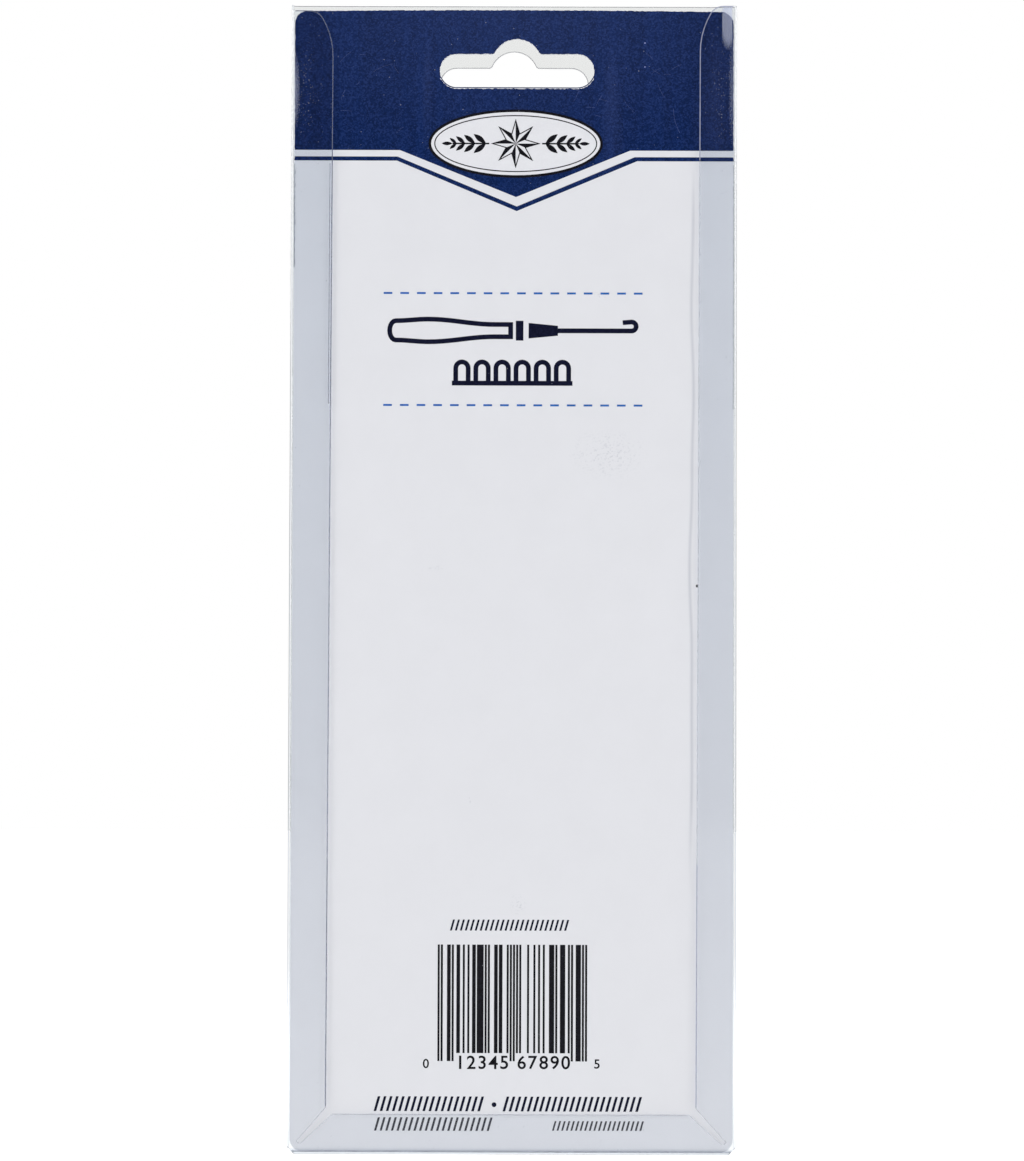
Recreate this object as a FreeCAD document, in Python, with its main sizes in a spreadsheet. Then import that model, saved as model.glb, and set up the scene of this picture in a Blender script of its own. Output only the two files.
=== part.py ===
import FreeCAD, Part
import math
import os
import Sketcher

# A rug hook in its hanging retail pack. The pack is a clear film sleeve with a formed
# bubble on its front and three edges folded round onto its back; a stiff card slides down
# behind the bubble, and the hook stands in the bubble with its point up.
#
# Frame: millimetres. +Z is up as the pack hangs. The origin is the crown of the sleeve's
# hang slot, on the pack's centre line, in the rear plane where the folded edges lie.
# The bubble stands towards +Y.

Vector = FreeCAD.Vector
doc = FreeCAD.newDocument("packed_rug_hook")
dims = doc.addObject("Spreadsheet::Sheet", "dims")

SIZES = (
    # the film sleeve
    ("pack_wide", 94.4, "outside width"),
    ("pack_high", 242.7, "outside height, fold to open top edge"),
    ("crown_to_top", 9.75, "hang slot crown up to the open top edge"),
    ("film", 0.45, "film thickness"),
    ("channel", 1.3, "room behind the front panel for the card"),
    ("fold_round", 0.8, "outside radius of the folds"),
    ("corner_cut", 1.6, "cut across the two lower corners"),
    ("left_flange_top", 8.9, "width of the left folded edge at its top"),
    ("left_flange_foot", 8.3, "width of the left folded edge at its foot"),
    ("right_flange_top", 7.9, "width of the right folded edge at its top"),
    ("right_flange_foot", 8.5, "width of the right folded edge at its foot"),
    ("foot_flange", 8.5, "height of the lower folded edge"),
    ("left_flange_drop", 1.2, "left folded edge stops this far below the top"),
    ("flange_oval_wide", 5.0, "width of the oval corner at a folded edge's top"),
    ("flange_oval_high", 9.8, "height of that oval corner"),
    ("flange_oval_tight", 3.2, "radius of its tighter arc"),
    ("mitre_mouth", 2.6, "gap between two folded edges at the inner end of a mitre"),
    ("mitre_end", 1.1, "the same gap out at the corner"),
    ("mitre_reach", 2.2, "the gap stops this far from the pack's sides"),
    # the hang slots
    ("slot_long", 31.3, "length of the sleeve's slot"),
    ("slot_high", 7.0, "height of a slot's two arms"),
    ("crown_half", 4.8, "half the width of a slot's crown"),
    ("crown_rise", 3.5, "crown above the arms"),
    ("crown_foot", 0.8, "fillet where the crown meets the arms"),
    ("card_slot_long", 32.6, "length of the card's slot"),
    ("card_slot_rise", 3.2, "rise of the card's crown above its arms"),
    ("card_slot_aside", 0.6, "card's slot sits this far to the right"),
    ("card_slot_lift", 2.9, "and this far above the sleeve's slot"),
    # the card
    ("board", 0.5, "card thickness"),
    ("card_side_gap", 0.2, "card to each side fold"),
    ("card_foot_gap", 0.1, "card to the lower fold"),
    ("card_top_gap", 1.15, "card's upper corners below the sleeve's top edge"),
    ("card_round", 2.7, "card corner radius"),
    ("card_bow", 0.3, "rise of the card's top edge at its middle"),
    # the tool's place in the pack
    ("card_room", 1.15, "card's front to the handle's belly"),
    ("butt_up", 16.95, "handle butt above the lower fold"),
    ("tool_play", 3.0, "free travel of the tool along the bubble"),
    # the bubble
    ("draft", 4.0, "wall draft, degrees"),
    ("side_room", 3.0, "cavity to handle belly, at the mouth"),
    ("front_room", 1.0, "cavity front to handle belly"),
    ("end_room", 0.4, "cavity end to the butt, and to the raised point"),
    ("lobe_corner", 9.0, "plan corner radius of the handle lobe"),
    ("tip_side_room", 3.4, "cavity to ferrule, at the mouth"),
    ("tip_front_room", 2.0, "cavity front to ferrule"),
    ("tip_corner", 7.0, "plan corner radius of the tip lobe"),
    ("front_round", 3.2, "radius round the bubble's front edges"),
    ("waist_round", 2.0, "fillet where the two lobes meet"),
    ("root_round", 0.8, "radius in the corner where the bubble leaves the panel"),
    # the handle
    ("handle_long", 96.0, "butt to shoulder"),
    ("belly", 25.0, "largest diameter"),
    ("belly_up", 30.0, "its height above the butt"),
    ("butt_wide", 17.0, "diameter of the butt face"),
    ("butt_crown", 1.5, "crown of the butt face"),
    ("butt_edge", 2.0, "rounded edge of the butt"),
    ("waist", 14.0, "smallest diameter"),
    ("waist_up", 80.0, "its height above the butt"),
    ("bead_gap", 2.0, "straight neck below the turned bead"),
    ("bead_high", 4.0, "height of the bead"),
    ("bead_out", 1.2, "how far the bead stands out"),
    ("shoulder_step", 0.3, "step from the ferrule out to the shoulder it seats on"),
    ("tenon_long", 12.0, "length of the tenon inside the ferrule"),
    ("bore_deep", 27.0, "depth of the tang bore from the tenon's end"),
    ("glue_gap", 0.05, "room for glue all round tang and tenon"),
    # the ferrule
    ("ferrule_long", 14.0, "length"),
    ("ferrule_foot", 13.2, "diameter at the handle"),
    ("ferrule_top", 10.0, "diameter at the shank"),
    ("ferrule_wall", 0.7, "wall"),
    ("grip_up", 1.6, "lowest grip ring above its foot, and the highest below its top"),
    ("grip_high", 0.8, "height of each grip ring pressed into it"),
    ("grip_deep", 0.3, "depth of those rings"),
    # the hook shank
    ("tool_long", 160.0, "whole tool, butt to point"),
    ("shank", 4.8, "diameter at the ferrule"),
    ("hook_wide", 3.6, "diameter below the point"),
    ("hook_run", 16.0, "even run below the point, where the taper ends"),
    ("nose_long", 4.6, "length of the rounded nose"),
    ("point", 0.7, "diameter of the blunt point"),
    ("tang", 4.0, "diameter of the tang"),
    ("tang_long", 25.0, "length of the tang in the handle"),
    ("tang_ring", 0.35, "depth of the grip rings cut in the tang"),
    ("ring_pitch", 4.0, "spacing of those rings"),
    ("lip_down", 6.4, "point to the lip's tip"),
    ("throat_up", 1.2, "how far the throat cuts up behind the lip"),
    ("throat_deep", 1.9, "depth of the throat"),
    ("throat_floor", 3.0, "length of its straight floor"),
    ("throat_ramp", 4.5, "length of the ramp that leads out of it"),
)

for row, (name, value, note) in enumerate(SIZES, 1):
    dims.set(f"A{row}", name)
    dims.set(f"B{row}", str(value))
    dims.set(f"C{row}", note)
    dims.setAlias(f"B{row}", name)
doc.recompute()


# places that several pieces share, written once
TOP = "dims.crown_to_top"
FOOT = "(dims.crown_to_top - dims.pack_high)"
SIDE = "(dims.pack_wide / 2)"
PANEL_BACK = "(dims.film + dims.channel)"
PANEL_FRONT = "(2 * dims.film + dims.channel)"
CARD_BACK = "(dims.film + (dims.channel - dims.board) / 2)"
TOOL_OUT = f"({CARD_BACK} + dims.board + dims.card_room + dims.belly / 2)"
BUTT = f"({FOOT} + dims.butt_up)"
SHOULDER = f"({BUTT} + dims.handle_long)"
POINT_AT = f"({BUTT} + dims.tool_long)"
# how far a cutting outline runs past the piece that it cuts
CLEAR = 1.0


def ogee(across, along):
    """Radius of the two equal arcs that join two parallel lines smoothly."""
    return f"((({along})^2 + ({across})^2) / (4 * ({across})))"


def crowned(half, rise):
    """Radius of an arc from its half chord and its rise."""
    return f"((({half})^2 + ({rise})^2) / (2 * ({rise})))"


def new_body(name):
    body = doc.addObject("PartDesign::Body", name)
    body.Label = name
    return body


def new_sketch(body, name, role, offset="0"):
    """A sketch on one of the body's own origin planes, moved along that plane's normal."""
    sketch = body.newObject("Sketcher::SketchObject", name)
    plane = [item for item in body.Origin.OriginFeatures if item.Role == role][0]
    sketch.AttachmentSupport = [(plane, "")]
    sketch.MapMode = "FlatFace"
    sketch.setExpression("AttachmentOffset.Base.z", offset)
    return sketch


def pin(sketch, edge, end, place):
    """Hold one end of a sketch edge at a place written in named sizes."""
    for kind, words in zip(("DistanceX", "DistanceY"), place):
        value = float(sketch.evalExpression(words))
        number = sketch.addConstraint(Sketcher.Constraint(kind, -1, 1, edge, end, value))
        sketch.setExpression(f"Constraints[{number}]", words)


def arc_between(start, end, radius, turn):
    """The short arc of a radius from start to end, and which end a sketch calls first."""
    chord = end - start
    across = Vector(-chord.y, chord.x, 0).normalize() * turn
    height = math.sqrt(max(0.0, radius ** 2 - (chord.Length / 2) ** 2))
    centre = (start + end) * 0.5 + across * height
    first, last = (start, end) if turn > 0 else (end, start)
    angles = [math.atan2(p.y - centre.y, p.x - centre.x) for p in (first, last)]
    if angles[1] < angles[0]:
        angles[1] += 2 * math.pi
    circle = Part.Circle(centre, Vector(0, 0, 1), radius)
    return Part.ArcOfCircle(circle, *angles)


def outline(sketch, corners):
    """A closed outline. Each corner is (x, y), or (x, y, radius, turn) where an arc leaves it.

    turn is +1 where the arc bends to the left on the way round, and -1 to the right.
    """
    places = [Vector(*(float(sketch.evalExpression(w)) for w in c[:2]), 0) for c in corners]
    starts = []
    ends = []
    for number, corner in enumerate(corners):
        here = places[number]
        there = places[(number + 1) % len(corners)]
        if len(corner) == 2:
            sketch.addGeometry(Part.LineSegment(here, there), False)
            starts.append(1)
            ends.append(2)
            continue
        radius = float(sketch.evalExpression(corner[2]))
        sketch.addGeometry(arc_between(here, there, radius, corner[3]), False)
        starts.append(1 if corner[3] > 0 else 2)
        ends.append(2 if corner[3] > 0 else 1)
    for number, corner in enumerate(corners):
        follower = (number + 1) % len(corners)
        sketch.addConstraint(
            Sketcher.Constraint("Coincident", number, ends[number], follower, starts[follower])
        )
        pin(sketch, number, starts[number], corner[:2])
        if len(corner) == 4:
            radius = float(sketch.evalExpression(corner[2]))
            held = sketch.addConstraint(Sketcher.Constraint("Radius", number, radius))
            sketch.setExpression(f"Constraints[{held}]", corner[2])


def block(low_x, low_y, high_x, high_y):
    return [(low_x, low_y), (high_x, low_y), (high_x, high_y), (low_x, high_y)]


def settle(feature):
    """Recompute, and stop at a feature that failed."""
    doc.recompute()
    if feature.State != ["Up-to-date"]:
        raise RuntimeError(f"{feature.Name} failed: {feature.State}")
    return feature


def pad(body, name, sketch, length, **settings):
    feature = body.newObject("PartDesign::Pad", name)
    feature.Profile = sketch
    feature.setExpression("Length", length)
    for key, value in settings.items():
        setattr(feature, key, value)
    return settle(feature)


def pocket(body, name, sketch, length, **settings):
    before = body.Shape.Volume
    feature = body.newObject("PartDesign::Pocket", name)
    feature.Profile = sketch
    feature.setExpression("Length", length)
    for key, value in settings.items():
        setattr(feature, key, value)
    settle(feature)
    if not feature.Shape.Volume < before:
        raise RuntimeError(f"{name} cuts nothing")
    return feature


def revolve(body, name, sketch):
    feature = body.newObject("PartDesign::Revolution", name)
    feature.Profile = sketch
    feature.ReferenceAxis = (sketch, ["V_Axis"])
    feature.Angle = 360
    return settle(feature)


def fillet(body, name, base, wanted, radius):
    """Round the edges of a feature that a test on each edge picks out."""
    edges = [f"Edge{n}" for n, edge in enumerate(base.Shape.Edges, 1) if wanted(edge)]
    if not edges:
        raise RuntimeError(f"{name} found no edge")
    feature = body.newObject("PartDesign::Fillet", name)
    feature.Base = (base, edges)
    feature.setExpression("Radius", radius)
    return settle(feature)


def size_of(words):
    return float(dims.evalExpression(words.replace("dims.", "")))


def near(value, target):
    return abs(value - target) < 0.01


def heading(edge):
    """Unit direction of an edge at its middle."""
    middle = (edge.FirstParameter + edge.LastParameter) / 2
    return edge.tangentAt(middle)


def lies_on(skin, place):
    point = Part.Vertex(place)
    return any(face.distToShape(point)[0] < 0.01 for face in skin.Faces)


def combine(body, name, kind, other):
    """Fuse another body into this one, or cut it out."""
    feature = body.newObject("PartDesign::Boolean", name)
    feature.Type = kind
    feature.setObjects([other])
    return settle(feature)


def oval_corner(side_x, top_y, towards):
    """Two tangent arcs from a flange's inner edge up to its top, as far as the top corner.

    towards is +1 on the left flange, whose free edge faces +X, and -1 on the right one.
    Returns the point low on the flange, the point where the arcs meet and the top point.
    """
    wide = "dims.flange_oval_wide"
    high = "dims.flange_oval_high"
    tight = "dims.flange_oval_tight"
    broad = f"(({wide}^2 + {high}^2 - 2 * {high} * {tight}) / (2 * ({wide} - {tight})))"
    share = f"({tight} / ({broad} - {tight}))"
    meet_x = f"(({broad} - {wide}) * {share})"
    meet_y = f"(({high} - {tight}) * {share} + {high} - {tight})"
    top = (f"{side_x} - ({towards}) * {wide}", top_y)
    meet = (
        f"{top[0]} + ({towards}) * {meet_x}",
        f"{top_y} - {high} + {meet_y}",
    )
    low = (side_x, f"{top_y} - {high}")
    return top, meet, low, broad, tight


def hang_slot(body, base_name, offset, depth, long, rise, aside, lift):
    """A slot with two round-ended arms and a crown in the middle that rides on a peg."""
    sketch = new_sketch(body, f"{base_name}_outline", "XZ_Plane", offset)
    half = f"({long}) / 2"
    end = "dims.slot_high / 2"
    arms_top = f"(-dims.crown_rise + {lift})"
    arms_mid = f"({arms_top} - dims.slot_high / 2)"
    arms_foot = f"({arms_top} - dims.slot_high)"
    outline(sketch, [
        (f"{aside} - {half} + {end}", arms_foot),
        (f"{aside} + {half} - {end}", arms_foot, end, 1),
        (f"{aside} + {half}", arms_mid, end, 1),
        (f"{aside} + {half} - {end}", arms_top),
        (f"{aside} + dims.crown_half", arms_top, crowned("dims.crown_half", rise), 1),
        (f"{aside} - dims.crown_half", arms_top),
        (f"{aside} - {half} + {end}", arms_top, end, 1),
        (f"{aside} - {half}", arms_mid, end, 1),
    ])
    cut = pocket(body, base_name, sketch, depth)
    level = size_of(arms_top)
    feet = [size_of(f"{aside} + {s} * dims.crown_half") for s in (-1, 1)]

    def is_crown_foot(edge):
        place = edge.CenterOfMass
        along = abs(heading(edge).y) > 0.99
        return along and near(place.z, level) and any(near(place.x, foot) for foot in feet)

    return fillet(body, f"{base_name}_crown_feet", cut, is_crown_foot, "dims.crown_foot")


def bubble_lobe(name, grow, half, foot, head, front, corner):
    """One drafted lobe of the bubble, with round plan corners and a round front edge.

    grow is 0 for the hollow inside, and the film's thickness for the form outside.
    """
    body = new_body(name)
    wide = f"({half} + {grow})"
    low = f"({foot} - {grow})"
    high = f"({head} + {grow})"
    crest = f"({front} + {grow})"
    lean = f"(({crest} - {PANEL_BACK}) * tan(dims.draft * 1deg))"
    section = new_sketch(body, f"{name}_section", "XY_Plane", low)
    outline(section, [
        (f"-{wide}", PANEL_BACK),
        (wide, PANEL_BACK),
        (f"{wide} - {lean}", crest),
        (f"{lean} - {wide}", crest),
    ])
    form = pad(body, f"{name}_form", section, f"{high} - {low}")

    # both ends lean inwards by the draft as well
    over = f"({lean} * (1 + {CLEAR} / ({crest} - {PANEL_BACK})))"
    for end, level, inward in (("foot", low, 1), ("head", high, -1)):
        wedge = new_sketch(body, f"{name}_{end}_draft", "YZ_Plane")
        outline(wedge, [
            (PANEL_BACK, level),
            (f"{crest} + {CLEAR}", f"{level} + ({inward}) * {over}"),
            (f"{crest} + {CLEAR}", f"{level} - ({inward}) * {CLEAR}"),
            (PANEL_BACK, f"{level} - ({inward}) * {CLEAR}"),
        ])
        form = pocket(body, f"{name}_{end}", wedge, f"2 * {wide} + {CLEAR}", Midplane=True)

    rounded = fillet(body, f"{name}_corners", form,
                     lambda edge: abs(heading(edge).y) > 0.9, f"{corner} + {grow}")
    face_at = max(point.Y for point in rounded.Shape.Vertexes)
    fillet(body, f"{name}_front", rounded,
           lambda edge: all(near(point.Y, face_at) for point in edge.Vertexes),
           f"dims.front_round + {grow}")
    return body


def bubble(name, grow):
    """The two lobes as one form: a deep one round the handle, a shallow one over the hook."""
    axis_lean = f"(({TOOL_OUT} - {PANEL_BACK}) * tan(dims.draft * 1deg))"
    handle_half = "dims.belly / 2 + dims.side_room"
    tip_half = "dims.ferrule_foot / 2 + dims.tip_side_room"
    handle_lobe = bubble_lobe(
        f"{name}_handle_lobe", grow, handle_half,
        f"{BUTT} - dims.end_room - {axis_lean}",
        f"{SHOULDER} + dims.end_room + {axis_lean}",
        f"{TOOL_OUT} + dims.belly / 2 + dims.front_room",
        "dims.lobe_corner",
    )
    tip_lobe = bubble_lobe(
        f"{name}_tip_lobe", grow, tip_half,
        f"{SHOULDER} - dims.belly",
        f"{POINT_AT} + dims.tool_play + dims.end_room + {axis_lean}",
        f"{TOOL_OUT} + dims.ferrule_foot / 2 + dims.tip_front_room",
        "dims.tip_corner",
    )
    skins = [handle_lobe.Shape.copy(), tip_lobe.Shape.copy()]
    join = combine(handle_lobe, f"{name}_lobes", "Fuse", tip_lobe)
    floor = size_of(PANEL_BACK)

    def is_seam(edge):
        middle = edge.valueAt((edge.FirstParameter + edge.LastParameter) / 2)
        on_both = all(lies_on(skin, middle) for skin in skins)
        return on_both and middle.y > floor + 0.01

    fillet(handle_lobe, f"{name}_waist", join, is_seam,
           f"dims.waist_round + dims.film - {grow}")
    return handle_lobe


def make_blister_shell():
    body = new_body("blister_shell")

    # sleeve: a flat block with its side and lower folds rounded
    sheet = new_sketch(body, "sleeve_outline", "XZ_Plane")
    outline(sheet, block(f"-{SIDE}", FOOT, SIDE, TOP))
    sleeve = pad(body, "sleeve", sheet, PANEL_FRONT, Reversed=True)

    foot = size_of(FOOT)
    side = size_of(SIDE)

    def is_fold(edge):
        place = edge.CenterOfMass
        upright = near(abs(place.x), side) and abs(heading(edge).z) > 0.99
        lower = near(place.z, foot) and abs(heading(edge).x) > 0.99
        return upright or lower

    fillet(body, "folds", sleeve, is_fold, "dims.fold_round")

    # the lower corners are cut across before the edges are folded
    for name, hand in (("left_corner_cut", "-1"), ("right_corner_cut", "1")):
        corner = new_sketch(body, f"{name}_outline", "XZ_Plane")
        points = [
            (f"{hand} * ({SIDE} - dims.corner_cut - {CLEAR})", f"{FOOT} - {CLEAR}"),
            (f"{hand} * ({SIDE} + {CLEAR})", f"{FOOT} - {CLEAR}"),
            (f"{hand} * ({SIDE} + {CLEAR})", f"{FOOT} + dims.corner_cut + {CLEAR}"),
        ]
        outline(corner, points)
        pocket(body, name, corner, PANEL_FRONT)

    # the room for the card, open at the top
    mouth = new_sketch(body, "channel_outline", "XY_Plane", TOP)
    outline(mouth, block(
        f"-{SIDE} + dims.film", "dims.film", f"{SIDE} - dims.film", PANEL_BACK
    ))
    pocket(body, "channel", mouth, "dims.pack_high - dims.film")

    # the rear wall is cut away between the three folded edges, down to the mitred corners
    window = new_sketch(body, "window_outline", "XZ_Plane")
    left_x = f"(-{SIDE} + dims.left_flange_top)"
    right_x = f"({SIDE} - dims.right_flange_top)"
    left_top = f"({TOP} - dims.left_flange_drop)"
    l_top, l_meet, l_low, broad, tight = oval_corner(left_x, left_top, 1)
    r_top, r_meet, r_low, broad, tight = oval_corner(right_x, TOP, -1)
    half_mouth = "dims.mitre_mouth / 2"
    half_end = "dims.mitre_end / 2"
    outline(window, [
        (f"-{SIDE} - {CLEAR}", f"{TOP} + {CLEAR}"),
        (f"-{SIDE} - {CLEAR}", left_top),
        (*l_top, tight, -1),
        (*l_meet, broad, -1),
        l_low,
        (f"-{SIDE} + dims.left_flange_foot", f"{FOOT} + dims.foot_flange + {half_mouth}"),
        (f"-{SIDE} + dims.mitre_reach", f"{FOOT} + dims.mitre_reach + {half_end}"),
        (f"-{SIDE} + dims.mitre_reach + {half_end}", f"{FOOT} + dims.mitre_reach"),
        (f"-{SIDE} + dims.left_flange_foot + {half_mouth}", f"{FOOT} + dims.foot_flange"),
        (f"{SIDE} - dims.right_flange_foot - {half_mouth}", f"{FOOT} + dims.foot_flange"),
        (f"{SIDE} - dims.mitre_reach - {half_end}", f"{FOOT} + dims.mitre_reach"),
        (f"{SIDE} - dims.mitre_reach", f"{FOOT} + dims.mitre_reach + {half_end}"),
        (f"{SIDE} - dims.right_flange_foot", f"{FOOT} + dims.foot_flange + {half_mouth}"),
        (*r_low, broad, -1),
        (*r_meet, tight, -1),
        r_top,
        (r_top[0], f"{TOP} + {CLEAR}"),
    ])
    pocket(body, "window", window, "dims.film")

    hang_slot(body, "peg_slot", "0", PANEL_FRONT, "dims.slot_long", "dims.crown_rise", "0", "0")

    # the bubble: its outside form is added, then the hollow is taken out of it
    outside = bubble("bubble_outside", "dims.film")
    inside = bubble("bubble_inside", "0")
    combine(body, "bubble_skin", "Fuse", outside)
    hollow = combine(body, "bubble_hollow", "Cut", inside)

    # the film bends out of the panel round the bubble's root, with an even wall
    root = outside.Shape.BoundBox

    def is_root(level):
        def test(edge):
            ends = edge.Vertexes + [Part.Vertex(edge.CenterOfMass)]
            return all(
                near(p.Y, level) and abs(p.X) < root.XMax + CLEAR
                and root.ZMin - CLEAR < p.Z < root.ZMax + CLEAR for p in ends
            )
        return test

    outer = fillet(body, "root_outside", hollow, is_root(size_of(PANEL_FRONT)),
                   "dims.root_round")
    fillet(body, "root_inside", outer, is_root(size_of(PANEL_BACK)),
           "dims.root_round + dims.film")
    return body


def make_insert_card():
    body = new_body("insert_card")
    half = f"({SIDE} - dims.film - dims.card_side_gap)"
    low = f"({FOOT} + dims.film + dims.card_foot_gap)"
    high = f"({TOP} - dims.card_top_gap)"
    sketch = new_sketch(body, "card_outline", "XZ_Plane", f"-{CARD_BACK}")
    outline(sketch, [
        (f"-{half}", low),
        (half, low),
        (half, high, crowned(half, "dims.card_bow"), 1),
        (f"-{half}", high),
    ])
    board = pad(body, "card_board", sketch, "dims.board", Reversed=True)
    fillet(body, "card_corners", board,
           lambda edge: abs(heading(edge).y) > 0.99, "dims.card_round")
    hang_slot(body, "card_slot", f"-{CARD_BACK}", "dims.board", "dims.card_slot_long",
              "dims.card_slot_rise", "dims.card_slot_aside", "dims.card_slot_lift")
    return body


def seat_on_tool_axis(body, height):
    """Stand a turned piece on the tool's axis, its own base at a height."""
    body.setExpression("Placement.Base.y", TOOL_OUT)
    body.setExpression("Placement.Base.z", height)


def ferrule_skin(height):
    """Outside radius of the tapered ferrule at a height above its foot."""
    lean = "((dims.ferrule_foot - dims.ferrule_top) / (2 * dims.ferrule_long))"
    return f"(dims.ferrule_foot / 2 - {lean} * ({height}))"


def ferrule_bore(height):
    return f"({ferrule_skin(height)} - dims.ferrule_wall)"


def make_handle():
    body = new_body("handle")
    sketch = new_sketch(body, "handle_profile", "XZ_Plane")
    belly = "(dims.belly / 2)"
    waist = "(dims.waist / 2)"
    butt = "(dims.butt_wide / 2)"
    shoulder = "(dims.ferrule_foot / 2 + dims.shoulder_step)"
    bore = "(dims.tang / 2 + dims.glue_gap)"
    end = "(dims.handle_long + dims.tenon_long)"
    swell = crowned("dims.belly_up - dims.butt_crown", f"{belly} - {butt}")
    run = "(dims.waist_up - dims.belly_up)"
    s_curve = ogee(f"{belly} - {waist}", run)
    bead_low = "(dims.waist_up + dims.bead_gap)"
    outline(sketch, [
        ("0", "0", crowned(butt, "dims.butt_crown"), 1),
        (butt, "dims.butt_crown", swell, 1),
        (belly, "dims.belly_up", s_curve, 1),
        (f"({belly} + {waist}) / 2", f"dims.belly_up + {run} / 2", s_curve, -1),
        (waist, "dims.waist_up"),
        (waist, bead_low, crowned("dims.bead_high / 2", "dims.bead_out"), 1),
        (waist, f"{bead_low} + dims.bead_high"),
        (shoulder, "dims.handle_long"),
        (f"{ferrule_bore('0')} - dims.glue_gap", "dims.handle_long"),
        (f"{ferrule_bore('dims.tenon_long')} - dims.glue_gap", end),
        (bore, end),
        (bore, f"{end} - dims.bore_deep"),
        ("0", f"{end} - dims.bore_deep - {bore}"),
    ])
    turned = revolve(body, "handle_turned", sketch)
    rim = size_of(butt)
    fillet(body, "handle_butt_edge", turned,
           lambda edge: near(edge.BoundBox.XMax, rim) and near(edge.BoundBox.ZLength, 0),
           "dims.butt_edge")
    seat_on_tool_axis(body, BUTT)
    return body


def make_ferrule():
    body = new_body("ferrule")
    sketch = new_sketch(body, "ferrule_profile", "XZ_Plane")
    hole = "(dims.shank / 2 + dims.glue_gap)"
    ceiling = "(dims.ferrule_long - dims.ferrule_wall)"
    rings = [
        "dims.grip_up",
        "(dims.grip_up + 2 * dims.grip_high)",
        "(dims.ferrule_long - dims.grip_up - dims.grip_high)",
    ]
    profile = []
    for low in rings:
        middle = f"({low} + dims.grip_high / 2)"
        high = f"({low} + dims.grip_high)"
        profile += [
            (ferrule_skin(low), low),
            (f"{ferrule_skin(middle)} - dims.grip_deep", middle),
            (ferrule_skin(high), high),
        ]
    outline(sketch, [(ferrule_skin("0"), "0")] + profile + [
        (ferrule_skin("dims.ferrule_long"), "dims.ferrule_long"),
        (hole, "dims.ferrule_long"),
        (hole, ceiling),
        (ferrule_bore(ceiling), ceiling),
        (ferrule_bore("0"), "0"),
    ])
    revolve(body, "ferrule_drawn", sketch)
    seat_on_tool_axis(body, SHOULDER)
    return body


def make_hook_shank():
    body = new_body("hook_shank")
    sketch = new_sketch(body, "shank_profile", "XZ_Plane")
    tang = "(dims.tang / 2)"
    shank = "(dims.shank / 2)"
    hook = "(dims.hook_wide / 2)"
    tip = "(dims.point / 2)"
    collar = "(dims.tang_long + dims.glue_gap)"
    tang_foot = "(dims.handle_long + dims.tenon_long - dims.tang_long)"
    ferrule_end = f"(dims.handle_long + dims.ferrule_long - {tang_foot})"
    total = f"(dims.tool_long - {tang_foot})"
    nose = f"({total} - dims.nose_long)"
    rings = []
    count = int(size_of("dims.tang_long / dims.ring_pitch")) - 1
    for number in range(1, count + 1):
        middle = f"(dims.ring_pitch * {number})"
        rings += [
            (tang, f"{middle} - dims.tang_ring"),
            (f"{tang} - dims.tang_ring", middle),
            (tang, f"{middle} + dims.tang_ring"),
        ]
    outline(sketch, [
        ("0", "0"),
        (f"{tang} - dims.tang_ring", "0"),
        (tang, "dims.tang_ring"),
        *rings,
        (tang, collar),
        (shank, collar),
        (shank, ferrule_end),
        (hook, f"{total} - dims.hook_run"),
        (hook, nose, crowned("dims.nose_long", f"({hook} - {tip})"), 1),
        (tip, total),
        ("0", total),
    ])
    turned = revolve(body, "shank_turned", sketch)

    # the throat is filed in from one side, and runs up behind the lip
    throat = new_sketch(body, "throat_outline", "XZ_Plane", "dims.hook_wide")
    lip = f"({total} - dims.lip_down)"
    floor_x = f"({hook} - dims.throat_deep)"
    ramp_top = f"({lip} - dims.throat_floor)"
    ramp_foot = f"({ramp_top} - dims.throat_ramp * (1 + {CLEAR} / dims.throat_deep))"
    outline(throat, [
        (hook, lip),
        (f"{floor_x} + dims.throat_up / 2", f"{lip} + dims.throat_up",
         "dims.throat_up", 1),
        (floor_x, lip),
        (floor_x, ramp_top),
        (f"{hook} + {CLEAR}", ramp_foot),
        (f"{hook} + {CLEAR}", lip),
    ])
    pocket(body, "throat", throat, "2 * dims.hook_wide")
    seat_on_tool_axis(body, f"{BUTT} + {tang_foot}")
    return body


PIECES = [
    make_blister_shell(),
    make_insert_card(),
    make_handle(),
    make_ferrule(),
    make_hook_shank(),
]

doc.recompute()
for item in doc.Objects:
    if "Invalid" in item.State or "Error" in item.State:
        raise RuntimeError(f"{item.Name} failed")
for piece in PIECES:
    if piece.Shape.isNull() or not piece.Shape.isValid():
        raise RuntimeError(f"{piece.Label} has no valid shape")

os.makedirs("parts", exist_ok=True)
for piece in PIECES:
    piece.Shape.exportStep(f"parts/{piece.Label}.step")
    box = piece.Shape.BoundBox
    print(piece.Label, round(piece.Shape.Volume, 2), len(piece.Shape.Solids), box)
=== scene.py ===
import bmesh
import bpy
import math
import random
from mathutils import Matrix, Vector


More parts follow.
